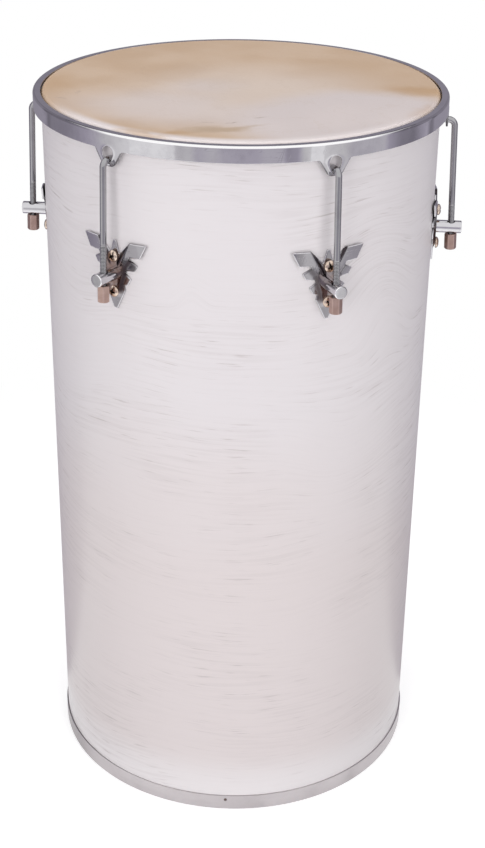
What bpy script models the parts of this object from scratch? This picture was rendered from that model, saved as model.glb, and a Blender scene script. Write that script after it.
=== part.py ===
# Tantan: a tall open-ended hand drum with one rod-tensioned hide head.
# Metres, +Z up. The origin is the centre of the base, and the front is -Y, midway between two lugs.
# Round pieces round the shell share one facet count and one turn, so each lug faces a flat facet.

import math

import bmesh
import bpy
from mathutils import Matrix

# Overall sizes
DRUM_RADIUS = 0.155
DRUM_HEIGHT = 0.5857

# Fits
GAP = 0.0003
HOLE_CLEARANCE = 0.0004
OVERCUT = 0.004

# Shell and its laminate
SHELL_WALL = 0.006
LAMINATE_THICKNESS = 0.001
LAMINATE_TUCK = 0.0022
SEAM_WIDTH = 0.0004
BEARING_ROUND = 0.003
BEARING_INNER_BEVEL = 0.0015

# Base rim and its nails
RIM_THICKNESS = 0.001
RIM_HEIGHT = 0.0138
NAIL_COUNT = 3
NAIL_FIRST_ANGLE = math.radians(3.4)
NAIL_HEIGHT = 0.0098
NAIL_RADIUS = 0.0006
NAIL_HEAD_RADIUS = 0.0014
NAIL_HEAD_HEIGHT = 0.0007
NAIL_LENGTH = 0.0055

# Hide head and the wire ring that it is wrapped round
HIDE_THICKNESS = 0.0007
FLESH_WIRE_RADIUS = 0.0018
HIDE_WRAP_END = math.radians(100)

# Counter hoop and its ears
HOOP_THICKNESS = 0.0015
HOOP_HEIGHT = 0.0124
HOOP_DROP = 0.001
HOOP_CORNER = 0.0018
HOOP_PLAY = 0.0004
FLANGE_GAP = 0.0006
EAR_HALF_WIDTH = 0.0123
EAR_DEPTH = 0.0121
EAR_TIP_HALF_WIDTH = 0.0050
EAR_TIP_ROUND = 0.005
EAR_FILLET = 0.002
EAR_HOLE_RADIUS = 0.0049
EAR_HOLE_DROP = 0.0023

# Lugs
LUG_COUNT = 6
LUG_FIRST_ANGLE = math.radians(30)
LUG_DROP = 0.1075
POST_RADIUS = 0.005
POST_REACH = 0.0229
POST_CHAMFER = 0.0006
POST_TAIL_RADIUS = 0.003
POST_RIVET_RADIUS = 0.0043
POST_ROD_HOLE_RADIUS = 0.0032

# Lug plate: the right half of its outline, sideways and up from the post's centre
PLATE_THICKNESS = 0.0013
PLATE_RAISE = 0.0016
PLATE_RAISED_HALF_WIDTH = 0.0062
PLATE_RAISED_HALF_HEIGHT = 0.0190
PLATE_SLOPE = 1.3
PLATE_TOP_SPIKE = ((0.0011, 0.0257), (0.0041, 0.0155))
PLATE_WING = ((0.0141, 0.0260), (0.0286, 0.0264), (0.0230, 0.0154), (0.0141, 0.0149))
PLATE_MIDDLE_PRONG = ((0.0130, 0.0125), (0.0200, 0.0090), (0.0172, 0.0043), (0.0101, 0.0033))
PLATE_LOWER_PRONG = ((0.0092, 0.0014), (0.0144, -0.0025), (0.0114, -0.0075), (0.0078, -0.0084))
PLATE_BOTTOM_SPIKE = ((0.0090, -0.0121), (0.0014, -0.0280))

# Lug screws and their nuts
SCREW_SPACING = 0.0275
SCREW_RADIUS = 0.002
SCREW_HEAD_RADIUS = 0.0045
SCREW_HEAD_HEIGHT = 0.0028
SCREW_END = 0.001
RECESS_HALF_LENGTH = 0.0023
RECESS_HALF_WIDTH = 0.0005
RECESS_DEPTH = 0.0014
SCREW_NUT_ACROSS_FLATS = 0.007
SCREW_NUT_HEIGHT = 0.004
SCREW_NUT_FLANGE_RADIUS = 0.0048
SCREW_NUT_FLANGE = 0.0009

# How far each screw, upper and lower, happens to be turned, in degrees, lug by lug
SCREW_TURNS = ((20, 62), (75, 8), (40, 15), (5, 50), (66, 31), (28, 80))

# Tension rods and nuts. A rod leans in from its post to its hook
ROD_RADIUS = 0.00238
ROD_OFFSET_AT_POST = 0.0146
ROD_OFFSET_AT_HOOK = 0.0115
ROD_BEND_RADIUS = 0.005
ROD_SEAT_CLEARANCE = 0.00037
HOOK_TIP_GAP = 0.0012
NUT_ACROSS_FLATS = 0.0081
NUT_HEIGHT = 0.012
NUT_CHAMFER = 0.0007
NUT_BORE_CLEARANCE = 0.0003
NUT_SEAT_GAP = 0.0005
ROD_END_INSET = 0.0018

# How far each nut happens to be turned, in degrees, lug by lug
NUT_TURNS = (2, 5, 25, 50, 13, 41)

# Smoothness
RING_STEPS = 60
WIRE_SIDES = 6
WRAP_SEGMENTS = 5
CORNER_SEGMENTS = 3
POST_STEPS = 16
NUT_STEPS = 12
SCREW_STEPS = 12
HOLE_SIDES = 10
ROD_BEND_SEGMENTS = 5
SMOOTH_ANGLE = math.radians(35)
MERGE_DISTANCE = 0.00001

# Radii and heights worked out from the sizes above
SHELL_OUTER = DRUM_RADIUS - LAMINATE_THICKNESS - GAP
SHELL_INNER = SHELL_OUTER - SHELL_WALL
SHELL_BOTTOM = RIM_THICKNESS + GAP
SHELL_TOP = DRUM_HEIGHT - HIDE_THICKNESS - GAP
RIM_INNER = DRUM_RADIUS + GAP
RIM_OUTER = RIM_INNER + RIM_THICKNESS

BEARING_RADIUS = SHELL_OUTER - BEARING_ROUND
BEARING_CENTRE_HEIGHT = SHELL_TOP - BEARING_ROUND
SKIRT_INNER = SHELL_OUTER + GAP
SKIRT_OUTER = SKIRT_INNER + HIDE_THICKNESS
WRAP_INNER_RADIUS = FLESH_WIRE_RADIUS + GAP
WRAP_OUTER_RADIUS = WRAP_INNER_RADIUS + HIDE_THICKNESS
FLESH_RING_RADIUS = SKIRT_OUTER + WRAP_INNER_RADIUS

HOOP_INNER = FLESH_RING_RADIUS + WRAP_OUTER_RADIUS + HOOP_PLAY
HOOP_OUTER = HOOP_INNER + HOOP_THICKNESS
HOOP_TOP = DRUM_HEIGHT - HOOP_DROP
HOOP_BOTTOM = HOOP_TOP - HOOP_HEIGHT
FLANGE_INNER = SKIRT_OUTER + FLANGE_GAP
FLESH_RING_HEIGHT = HOOP_TOP - HOOP_THICKNESS - GAP - WRAP_OUTER_RADIUS
LAMINATE_TOP = HOOP_BOTTOM + LAMINATE_TUCK

PLATE_BACK = DRUM_RADIUS + GAP
PLATE_FACE = PLATE_BACK + PLATE_THICKNESS
RAISED_FACE = PLATE_FACE + PLATE_RAISE
RAISED_BACK = RAISED_FACE - PLATE_THICKNESS
POST_SHOULDER = RAISED_FACE + GAP
POST_END = DRUM_RADIUS + POST_REACH
RIVET_FACE = RAISED_BACK - GAP
SCREW_SEAT = RAISED_FACE + GAP
SCREW_NUT_SEAT = SHELL_INNER - GAP
SCREW_NUT_BACK = SCREW_NUT_SEAT - SCREW_NUT_HEIGHT
SCREW_HOLE_RADIUS = SCREW_RADIUS + HOLE_CLEARANCE
NAIL_SEAT = RIM_OUTER + GAP

LUG_HEIGHT = DRUM_HEIGHT - LUG_DROP
ROD_AT_POST = DRUM_RADIUS + ROD_OFFSET_AT_POST
ROD_AT_HOOK = DRUM_RADIUS + ROD_OFFSET_AT_HOOK
HOOK_HEIGHT = HOOP_BOTTOM - EAR_DEPTH + EAR_TIP_ROUND
HOOK_TIP = DRUM_RADIUS + HOOK_TIP_GAP
EAR_SEAT_RADIUS = ROD_RADIUS + ROD_SEAT_CLEARANCE
ROD_LEAN = math.atan((ROD_AT_POST - ROD_AT_HOOK) / (HOOK_HEIGHT - LUG_HEIGHT))
NUT_DROP = POST_RADIUS + NUT_SEAT_GAP
ROD_LENGTH_BELOW_POST = NUT_DROP + NUT_HEIGHT - ROD_END_INSET
HEX_CORNER = 1 / math.cos(math.pi / 6)


def clear_scene():
    for old in list(bpy.data.objects):
        bpy.data.objects.remove(old, do_unlink=True)


def new_collection(name):
    collection = bpy.data.collections.new(name)
    bpy.context.scene.collection.children.link(collection)
    return collection


def new_material(name, colour, roughness, metallic):
    material = bpy.data.materials.new(name)
    material.use_nodes = True
    shader = material.node_tree.nodes["Principled BSDF"]
    shader.inputs["Base Color"].default_value = (*colour, 1.0)
    shader.inputs["Roughness"].default_value = roughness
    shader.inputs["Metallic"].default_value = metallic
    return material


def new_object(name, mesh, collection, material=None):
    item = bpy.data.objects.new(name, mesh)
    collection.objects.link(item)
    if material and not mesh.materials:
        mesh.materials.append(material)
    return item


def as_cutter(item):
    item.hide_render = True
    item.display_type = "WIRE"
    return item


def arc(centre, radius, start, end, segments):
    """Points along an arc of a circle, from one angle to another, in radians."""
    points = []
    for i in range(segments + 1):
        angle = start + (end - start) * i / segments
        points.append((centre[0] + radius * math.cos(angle), centre[1] + radius * math.sin(angle)))
    return points


def rounded(corners, segments):
    """An open outline through corners (x, y, radius), each corner turned into an arc of its radius."""
    points = [corners[0][:2]]
    for before, corner, after in zip(corners, corners[1:], corners[2:]):
        x, y, radius = corner
        to_before = math.atan2(before[1] - y, before[0] - x)
        to_after = math.atan2(after[1] - y, after[0] - x)
        half = ((to_after - to_before + math.pi) % (2 * math.pi) - math.pi) / 2
        middle = to_before + half
        reach = radius / math.sin(abs(half))
        centre = (x + reach * math.cos(middle), y + reach * math.sin(middle))
        turn = math.copysign(math.pi / 2 - abs(half), half)
        points += arc(centre, radius, middle + math.pi + turn, middle + math.pi - turn, segments)
    points.append(corners[-1][:2])
    return points


def shade(mesh):
    mesh.shade_smooth()
    mesh.set_sharp_from_angle(angle=SMOOTH_ANGLE)


def turned(name, profile, steps, collection, material=None, closed=True):
    """A solid of revolution about Z, from points (radius, height) that run clockwise round its section."""
    mesh = bpy.data.meshes.new(name)
    count = len(profile)
    edges = [(i, i + 1) for i in range(count - 1)]
    if closed:
        edges.append((count - 1, 0))
    mesh.from_pydata([(radius, 0.0, height) for radius, height in profile], edges, [])
    item = new_object(name, mesh, collection, material)
    screw = item.modifiers.new("turn", "SCREW")
    screw.steps = steps
    screw.render_steps = steps
    screw.use_merge_vertices = True
    screw.merge_threshold = MERGE_DISTANCE
    screw.use_smooth_shade = True
    return item


def finished(item, name=None):
    """The object's evaluated mesh, in its own coordinates. The object itself is removed."""
    bpy.context.view_layer.update()
    evaluated = item.evaluated_get(bpy.context.evaluated_depsgraph_get())
    mesh = bpy.data.meshes.new_from_object(evaluated)
    mesh.name = name or item.name
    work = bmesh.new()
    work.from_mesh(mesh)
    bmesh.ops.remove_doubles(work, verts=work.verts, dist=MERGE_DISTANCE)
    work.to_mesh(mesh)
    work.free()
    bpy.data.objects.remove(item, do_unlink=True)
    shade(mesh)
    return mesh


def boolean(item, operand, operation):
    modifier = item.modifiers.new(operand.name, "BOOLEAN")
    modifier.operation = operation
    modifier.solver = "EXACT"
    modifier.object = operand
    return item


def prism_facing_front(name, outline, near, far, collection):
    """A closed outline (sideways, up) in the plane of the front, from one depth to another along -Y."""
    curve = bpy.data.curves.new(name, "CURVE")
    curve.dimensions = "2D"
    curve.fill_mode = "BOTH"
    curve.extrude = (far - near) / 2
    spline = curve.splines.new("POLY")
    spline.points.add(len(outline) - 1)
    for point, (x, y) in zip(spline.points, outline):
        point.co = (x, y, 0.0, 1.0)
    spline.use_cyclic_u = True
    item = bpy.data.objects.new(name, curve)
    collection.objects.link(item)
    item.rotation_euler = (math.pi / 2, 0.0, 0.0)
    item.location = (0.0, -(near + far) / 2, 0.0)
    bpy.context.view_layer.update()
    place = item.matrix_world.copy()
    prism = new_object(name, finished(item), collection)
    prism.matrix_world = place
    return prism


def drilled_bars(name, radius, near, far, places, collection):
    """One round bar for each (angle about Z, sideways, height), lying along the radius from near to far."""
    work = bmesh.new()
    for angle, sideways, height in places:
        lay = Matrix.Rotation(math.pi / 2, 4, "X")
        move = Matrix.Translation((sideways, -(near + far) / 2, height))
        bmesh.ops.create_cone(
            work, cap_ends=True, segments=HOLE_SIDES, radius1=radius, radius2=radius,
            depth=far - near, matrix=Matrix.Rotation(angle, 4, "Z") @ move @ lay,
        )
    mesh = bpy.data.meshes.new(name)
    work.to_mesh(mesh)
    work.free()
    return as_cutter(new_object(name, mesh, collection))


def hex_prism(name, across_flats, bottom, top, collection):
    work = bmesh.new()
    corner = across_flats / 2 * HEX_CORNER
    bmesh.ops.create_cone(
        work, cap_ends=True, segments=6, radius1=corner, radius2=corner,
        depth=top - bottom, matrix=Matrix.Translation((0.0, 0.0, (bottom + top) / 2)),
    )
    mesh = bpy.data.meshes.new(name)
    work.to_mesh(mesh)
    work.free()
    return new_object(name, mesh, collection)


def upright_bar(name, radius, bottom, top, sides, collection, place=(0.0, 0.0)):
    work = bmesh.new()
    bmesh.ops.create_cone(
        work, cap_ends=True, segments=sides, radius1=radius, radius2=radius,
        depth=top - bottom, matrix=Matrix.Translation((*place, (bottom + top) / 2)),
    )
    mesh = bpy.data.meshes.new(name)
    work.to_mesh(mesh)
    work.free()
    return as_cutter(new_object(name, mesh, collection))


def lug_angles():
    return [LUG_FIRST_ANGLE + 2 * math.pi * i / LUG_COUNT for i in range(LUG_COUNT)]


def nail_angles():
    return [NAIL_FIRST_ANGLE + 2 * math.pi * i / NAIL_COUNT for i in range(NAIL_COUNT)]


def face_lugs(item):
    """Turn a ring by half a facet, so that each lug meets the middle of a facet."""
    item.rotation_euler.z = math.pi / RING_STEPS


def make_screw_drill(cutters):
    places = []
    for angle in lug_angles():
        places.append((angle, 0.0, LUG_HEIGHT + SCREW_SPACING / 2))
        places.append((angle, 0.0, LUG_HEIGHT - SCREW_SPACING / 2))
    return drilled_bars(
        "screw_drill", SCREW_HOLE_RADIUS, SHELL_INNER - OVERCUT, DRUM_RADIUS + OVERCUT, places, cutters
    )


def make_nail_drill(cutters):
    places = [(angle, 0.0, NAIL_HEIGHT) for angle in nail_angles()]
    depth = NAIL_SEAT - NAIL_LENGTH - GAP
    return drilled_bars(
        "nail_drill", NAIL_RADIUS + GAP, depth, RIM_OUTER + OVERCUT, places, cutters
    )


def make_shell(parts, material, drills):
    """A bent plywood tube. Its top edge is rounded outwards, and the hide bears on it."""
    bearing_centre = (BEARING_RADIUS, BEARING_CENTRE_HEIGHT)
    outer_edge = arc(bearing_centre, BEARING_ROUND, math.pi / 2, 0.0, CORNER_SEGMENTS)
    profile = outer_edge + [
        (SHELL_OUTER, SHELL_BOTTOM),
        (SHELL_INNER, SHELL_BOTTOM),
        (SHELL_INNER, SHELL_TOP - BEARING_INNER_BEVEL),
        (SHELL_INNER + BEARING_INNER_BEVEL, SHELL_TOP),
    ]
    shell = turned("shell", profile, RING_STEPS, parts, material)
    face_lugs(shell)
    for drill in drills:
        boolean(shell, drill, "DIFFERENCE")
    return shell


def make_laminate(parts, cutters, material, drills):
    """The sheet glued round the shell, with its butt seam at the back."""
    profile = [
        (DRUM_RADIUS, LAMINATE_TOP),
        (DRUM_RADIUS, SHELL_BOTTOM),
        (DRUM_RADIUS - LAMINATE_THICKNESS, SHELL_BOTTOM),
        (DRUM_RADIUS - LAMINATE_THICKNESS, LAMINATE_TOP),
    ]
    laminate = turned("laminate", profile, RING_STEPS, parts, material)
    face_lugs(laminate)
    outline = [
        (-SEAM_WIDTH / 2, -OVERCUT),
        (SEAM_WIDTH / 2, -OVERCUT),
        (SEAM_WIDTH / 2, LAMINATE_TOP + OVERCUT),
        (-SEAM_WIDTH / 2, LAMINATE_TOP + OVERCUT),
    ]
    seam = as_cutter(
        prism_facing_front("seam", outline, -DRUM_RADIUS - OVERCUT, -SHELL_INNER, cutters)
    )
    for drill in [seam, *drills]:
        boolean(laminate, drill, "DIFFERENCE")
    return laminate


def make_base_rim(parts, material, drills):
    """An angle ring: a band outside the laminate and a flange under the shell's edge."""
    profile = [
        (RIM_OUTER, RIM_HEIGHT),
        (RIM_OUTER, 0.0),
        (SHELL_INNER, 0.0),
        (SHELL_INNER, RIM_THICKNESS),
        (RIM_INNER, RIM_THICKNESS),
        (RIM_INNER, RIM_HEIGHT),
    ]
    rim = turned("base_rim", profile, RING_STEPS, parts, material)
    face_lugs(rim)
    for drill in drills:
        boolean(rim, drill, "DIFFERENCE")
    return rim


def make_rim_nails(parts, material):
    """Small round-headed nails, driven through the rim into the shell."""
    dome = arc((0.0, 0.0), 1.0, math.pi / 2, 0.0, CORNER_SEGMENTS)
    profile = [(NAIL_HEAD_RADIUS * x, NAIL_HEAD_HEIGHT * y) for x, y in dome]
    profile += [(NAIL_RADIUS, 0.0), (NAIL_RADIUS, -NAIL_LENGTH), (0.0, -NAIL_LENGTH)]
    source = turned("rim_nail", profile, SCREW_STEPS, parts, material, closed=False)
    mesh = finished(source)
    for number, angle in enumerate(nail_angles(), 1):
        nail = new_object(f"rim_nail_{number}", mesh, parts, material)
        spot = Matrix.Rotation(angle, 4, "Z") @ Matrix.Translation((0.0, -NAIL_SEAT, NAIL_HEIGHT))
        nail.matrix_world = spot @ Matrix.Rotation(math.pi / 2, 4, "X")


def make_head_skin(parts, material):
    """Hide stretched over the bearing edge, down the shell and round the flesh hoop's wire."""
    shoulder = (BEARING_RADIUS, BEARING_CENTRE_HEIGHT)
    ring = (FLESH_RING_RADIUS, FLESH_RING_HEIGHT)
    outer_shoulder = BEARING_ROUND + GAP + HIDE_THICKNESS
    profile = [(0.0, DRUM_HEIGHT)]
    wrap_end = 2 * math.pi + HIDE_WRAP_END
    profile += arc(shoulder, outer_shoulder, math.pi / 2, 0.0, CORNER_SEGMENTS)
    profile += arc(ring, WRAP_INNER_RADIUS, math.pi, wrap_end, WRAP_SEGMENTS)
    profile += arc(ring, WRAP_OUTER_RADIUS, wrap_end, math.pi, WRAP_SEGMENTS)
    profile += arc(shoulder, outer_shoulder - HIDE_THICKNESS, 0.0, math.pi / 2, CORNER_SEGMENTS)
    profile.append((0.0, DRUM_HEIGHT - HIDE_THICKNESS))
    skin = turned("head_skin", profile, RING_STEPS, parts, material, closed=False)
    face_lugs(skin)
    return skin


def make_flesh_hoop(parts, material):
    """The steel wire ring inside the hide's wrapped edge."""
    wire = arc((FLESH_RING_RADIUS, FLESH_RING_HEIGHT), FLESH_WIRE_RADIUS, 2 * math.pi, 0.0, WIRE_SIDES)
    ring = turned("flesh_hoop", wire[:-1], RING_STEPS, parts, material)
    face_lugs(ring)
    return ring


def ear_outline():
    """An ear below the hoop's edge: straight sides, a rounded tip and a small fillet at each side."""
    corners = [
        (-2 * EAR_HALF_WIDTH, HOOP_BOTTOM, 0.0),
        (-EAR_HALF_WIDTH, HOOP_BOTTOM, EAR_FILLET),
        (-EAR_TIP_HALF_WIDTH, HOOP_BOTTOM - EAR_DEPTH, EAR_TIP_ROUND),
        (EAR_TIP_HALF_WIDTH, HOOP_BOTTOM - EAR_DEPTH, EAR_TIP_ROUND),
        (EAR_HALF_WIDTH, HOOP_BOTTOM, EAR_FILLET),
        (2 * EAR_HALF_WIDTH, HOOP_BOTTOM, 0.0),
    ]
    outline = rounded(corners, CORNER_SEGMENTS)[1:-1]
    left = outline[0][0]
    right = outline[-1][0]
    return [(left, HOOP_BOTTOM + OVERCUT), *outline, (right, HOOP_BOTTOM + OVERCUT)]


def ear_hole_outline():
    """A drop-shaped hole: a wide round top to pass the hook, and a narrow round seat below it."""
    centre_height = HOOP_BOTTOM - EAR_HOLE_DROP
    spread = math.asin((EAR_HOLE_RADIUS - EAR_SEAT_RADIUS) / (centre_height - HOOK_HEIGHT))
    top = arc((0.0, centre_height), EAR_HOLE_RADIUS, -spread, math.pi + spread, 9)
    seat = arc((0.0, HOOK_HEIGHT), EAR_SEAT_RADIUS, math.pi + spread, 2 * math.pi - spread, 6)
    return top + seat


def make_counter_hoop(parts, cutters, material):
    """A rolled steel angle: a band round the head, a flange over the flesh hoop, and six pierced ears."""
    corner_centre = (HOOP_OUTER - HOOP_CORNER, HOOP_TOP - HOOP_CORNER)
    corner = arc(corner_centre, HOOP_CORNER, math.pi / 2, 0.0, CORNER_SEGMENTS)
    ear_bottom = HOOP_BOTTOM - EAR_DEPTH
    profile = corner + [
        (HOOP_OUTER, ear_bottom - OVERCUT),
        (HOOP_INNER, ear_bottom - OVERCUT),
        (HOOP_INNER, HOOP_TOP - HOOP_THICKNESS),
        (FLANGE_INNER, HOOP_TOP - HOOP_THICKNESS),
        (FLANGE_INNER, HOOP_TOP),
    ]
    hoop = turned("counter_hoop", profile, RING_STEPS, parts, material)
    face_lugs(hoop)
    waste = upright_bar(
        "hoop_waste", HOOP_OUTER + OVERCUT, ear_bottom - 2 * OVERCUT, HOOP_BOTTOM, RING_STEPS, cutters
    )
    near = HOOP_INNER - 2 * OVERCUT
    far = HOOP_OUTER + 2 * OVERCUT
    for number, angle in enumerate(lug_angles(), 1):
        ear = as_cutter(prism_facing_front(f"ear_{number}", ear_outline(), near, far, cutters))
        ear.matrix_world = Matrix.Rotation(angle, 4, "Z") @ ear.matrix_world
        boolean(waste, ear, "DIFFERENCE")
    boolean(hoop, waste, "DIFFERENCE")
    for number, angle in enumerate(lug_angles(), 1):
        hole = as_cutter(
            prism_facing_front(f"ear_hole_{number}", ear_hole_outline(), near, far, cutters)
        )
        hole.matrix_world = Matrix.Rotation(angle, 4, "Z") @ hole.matrix_world
        boolean(hoop, hole, "DIFFERENCE")
    return hoop


def raised_block(name, face, half_width, half_height, back, collection):
    """A block whose sides slope outwards behind its front face, centred on the lug's height."""
    spread = PLATE_SLOPE * (face - back)
    work = bmesh.new()
    bmesh.ops.create_cube(work, size=2.0)
    for vertex in work.verts:
        in_front = vertex.co.y < 0
        grow = 0.0 if in_front else spread
        vertex.co.x *= half_width + grow
        vertex.co.z = LUG_HEIGHT + vertex.co.z * (half_height + grow)
        vertex.co.y = -(face if in_front else back)
    mesh = bpy.data.meshes.new(name)
    work.to_mesh(mesh)
    work.free()
    return as_cutter(new_object(name, mesh, collection))


def plate_outline():
    """The star plate: a top spike, two swept wings, four prongs and a bottom spike."""
    right = [
        *PLATE_TOP_SPIKE, *PLATE_WING, *PLATE_MIDDLE_PRONG, *PLATE_LOWER_PRONG, *PLATE_BOTTOM_SPIKE
    ]
    left = [(-x, z) for x, z in reversed(right)]
    return [(x, LUG_HEIGHT + z) for x, z in right + left]


def make_plate_mesh(cutters):
    """Stamped sheet: the drum's curve on the wings, raised flat in the middle, cut to the star outline."""
    bottom = LUG_HEIGHT - 2 * PLATE_RAISED_HALF_HEIGHT
    top = LUG_HEIGHT + 2 * PLATE_RAISED_HALF_HEIGHT
    inside_core = SHELL_INNER - 2 * OVERCUT
    face = upright_bar("lug_plate", PLATE_FACE, bottom, top, RING_STEPS, cutters)
    back = upright_bar("plate_back", PLATE_BACK, bottom - OVERCUT, top + OVERCUT, RING_STEPS, cutters)
    for drum in (face, back):
        face_lugs(drum)
    bend = PLATE_THICKNESS * math.tan(math.atan(1 / PLATE_SLOPE) / 2)
    raised_face = raised_block(
        "raised_face", RAISED_FACE, PLATE_RAISED_HALF_WIDTH, PLATE_RAISED_HALF_HEIGHT,
        inside_core, cutters,
    )
    raised_back = raised_block(
        "raised_back", RAISED_BACK, PLATE_RAISED_HALF_WIDTH - bend, PLATE_RAISED_HALF_HEIGHT - bend,
        inside_core, cutters,
    )
    star = as_cutter(
        prism_facing_front(
            "star", plate_outline(), SHELL_INNER, RAISED_FACE + OVERCUT, cutters
        )
    )
    screw_holes = drilled_bars(
        "plate_screw_holes", SCREW_HOLE_RADIUS, SHELL_INNER, RAISED_FACE + OVERCUT,
        [(0.0, 0.0, LUG_HEIGHT + SCREW_SPACING / 2), (0.0, 0.0, LUG_HEIGHT - SCREW_SPACING / 2)],
        cutters,
    )
    tail_hole = drilled_bars(
        "plate_tail_hole", POST_TAIL_RADIUS + GAP, SHELL_INNER, RAISED_FACE + OVERCUT,
        [(0.0, 0.0, LUG_HEIGHT)], cutters,
    )
    boolean(back, raised_back, "UNION")
    boolean(face, raised_face, "UNION")
    boolean(face, back, "DIFFERENCE")
    boolean(face, star, "INTERSECT")
    boolean(face, screw_holes, "DIFFERENCE")
    boolean(face, tail_hole, "DIFFERENCE")
    turn = face.matrix_world.copy()
    mesh = finished(face)
    mesh.transform(turn)
    for tool in (back, raised_face, raised_back, star, screw_holes, tail_hole):
        bpy.data.objects.remove(tool, do_unlink=True)
    return mesh


def make_post_mesh(cutters):
    """A turned bar with a chamfered end, a tail riveted behind the plate and a cross hole for the rod."""
    profile = [
        (0.0, POST_END),
        (POST_RADIUS - POST_CHAMFER, POST_END),
        (POST_RADIUS, POST_END - POST_CHAMFER),
        (POST_RADIUS, POST_SHOULDER),
        (POST_TAIL_RADIUS, POST_SHOULDER),
        (POST_TAIL_RADIUS, RIVET_FACE),
        (POST_RIVET_RADIUS, RIVET_FACE),
        (POST_RIVET_RADIUS, PLATE_BACK),
        (0.0, PLATE_BACK),
    ]
    post = turned("lug_post", profile, POST_STEPS, cutters, closed=False)
    post.rotation_euler = (math.pi / 2, 0.0, 0.0)
    drill = upright_bar(
        "rod_hole", POST_ROD_HOLE_RADIUS, -2 * POST_RADIUS, 2 * POST_RADIUS, HOLE_SIDES, cutters,
        (0.0, -ROD_AT_POST),
    )
    boolean(post, drill, "DIFFERENCE")
    bpy.context.view_layer.update()
    turn = post.matrix_world.copy()
    mesh = finished(post)
    mesh.transform(turn)
    bpy.data.objects.remove(drill, do_unlink=True)
    return mesh


def make_screw_mesh(cutters):
    """A round-headed machine screw with a cross recess. Its axis is Z, and its head sits on Z = 0."""
    length = SCREW_SEAT - SCREW_NUT_BACK + SCREW_END
    dome = arc((0.0, 0.0), 1.0, math.pi / 2, 0.0, CORNER_SEGMENTS)
    profile = [(SCREW_HEAD_RADIUS * x, SCREW_HEAD_HEIGHT * y) for x, y in dome]
    profile += [
        (SCREW_RADIUS, 0.0),
        (SCREW_RADIUS, -length),
        (0.0, -length),
    ]
    screw = turned("lug_screw", profile, SCREW_STEPS, cutters, closed=False)
    work = bmesh.new()
    bmesh.ops.create_cube(work, size=2.0)
    for vertex in work.verts:
        vertex.co.x *= RECESS_HALF_LENGTH
        vertex.co.y *= RECESS_HALF_WIDTH
        vertex.co.z = SCREW_HEAD_HEIGHT + vertex.co.z * RECESS_DEPTH
    slot_mesh = bpy.data.meshes.new("recess_slot")
    work.to_mesh(slot_mesh)
    work.free()
    slot = as_cutter(new_object("recess_slot", slot_mesh, cutters))
    cross = as_cutter(new_object("recess_cross", slot_mesh, cutters))
    cross.rotation_euler.z = math.pi / 2
    boolean(screw, slot, "DIFFERENCE")
    boolean(screw, cross, "DIFFERENCE")
    mesh = finished(screw)
    for tool in (slot, cross):
        bpy.data.objects.remove(tool, do_unlink=True)
    return mesh


def make_screw_nut_mesh(cutters):
    """A hex nut with a round flange. It sits against Z = 0 and stands down from it."""
    nut = hex_prism(
        "screw_nut", SCREW_NUT_ACROSS_FLATS, -SCREW_NUT_HEIGHT, -SCREW_NUT_FLANGE / 2, cutters
    )
    flange = upright_bar(
        "nut_flange", SCREW_NUT_FLANGE_RADIUS, -SCREW_NUT_FLANGE, 0.0, SCREW_STEPS, cutters
    )
    bore = upright_bar(
        "nut_bore", SCREW_RADIUS + GAP, -SCREW_NUT_HEIGHT - OVERCUT, OVERCUT, HOLE_SIDES, cutters
    )
    boolean(nut, flange, "UNION")
    boolean(nut, bore, "DIFFERENCE")
    mesh = finished(nut)
    for tool in (flange, bore):
        bpy.data.objects.remove(tool, do_unlink=True)
    return mesh


def make_tension_nut_mesh(cutters):
    """A long hex nut with turned ends, bored for the rod. Z = 0 is its top."""
    corner = NUT_ACROSS_FLATS / 2 * HEX_CORNER
    nut = hex_prism("tension_nut", NUT_ACROSS_FLATS, -NUT_HEIGHT, 0.0, cutters)
    turned_profile = [
        (0.0, OVERCUT / 2),
        (corner - NUT_CHAMFER - OVERCUT / 2, OVERCUT / 2),
        (corner + NUT_CHAMFER, -2 * NUT_CHAMFER),
        (corner + NUT_CHAMFER, -NUT_HEIGHT + 2 * NUT_CHAMFER),
        (corner - NUT_CHAMFER - OVERCUT / 2, -NUT_HEIGHT - OVERCUT / 2),
        (0.0, -NUT_HEIGHT - OVERCUT / 2),
    ]
    ends = as_cutter(turned("nut_ends", turned_profile, NUT_STEPS, cutters, closed=False))
    bore = upright_bar(
        "rod_bore", ROD_RADIUS + NUT_BORE_CLEARANCE, -NUT_HEIGHT - OVERCUT, OVERCUT, NUT_STEPS, cutters
    )
    boolean(nut, ends, "INTERSECT")
    boolean(nut, bore, "DIFFERENCE")
    mesh = finished(nut)
    for tool in (ends, bore):
        bpy.data.objects.remove(tool, do_unlink=True)
    return mesh


def make_rod_mesh(cutters):
    """A round rod: a level hook through the ear, one bend and a leaning leg. Its post is at Z = 0."""
    hook = HOOK_HEIGHT - LUG_HEIGHT
    leg_end = -ROD_LENGTH_BELOW_POST
    path = rounded(
        [
            (ROD_AT_POST - HOOK_TIP, hook, 0.0),
            (ROD_AT_POST - ROD_AT_HOOK, hook, ROD_BEND_RADIUS),
            (leg_end * math.sin(ROD_LEAN), leg_end * math.cos(ROD_LEAN), 0.0),
        ],
        ROD_BEND_SEGMENTS,
    )
    curve = bpy.data.curves.new("tension_rod", "CURVE")
    curve.dimensions = "3D"
    curve.bevel_depth = ROD_RADIUS
    curve.bevel_resolution = 3
    curve.use_fill_caps = True
    spline = curve.splines.new("POLY")
    spline.points.add(len(path) - 1)
    for point, (inward, height) in zip(spline.points, path):
        point.co = (0.0, inward, height, 1.0)
    item = bpy.data.objects.new("tension_rod", curve)
    cutters.objects.link(item)
    return finished(item)


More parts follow.
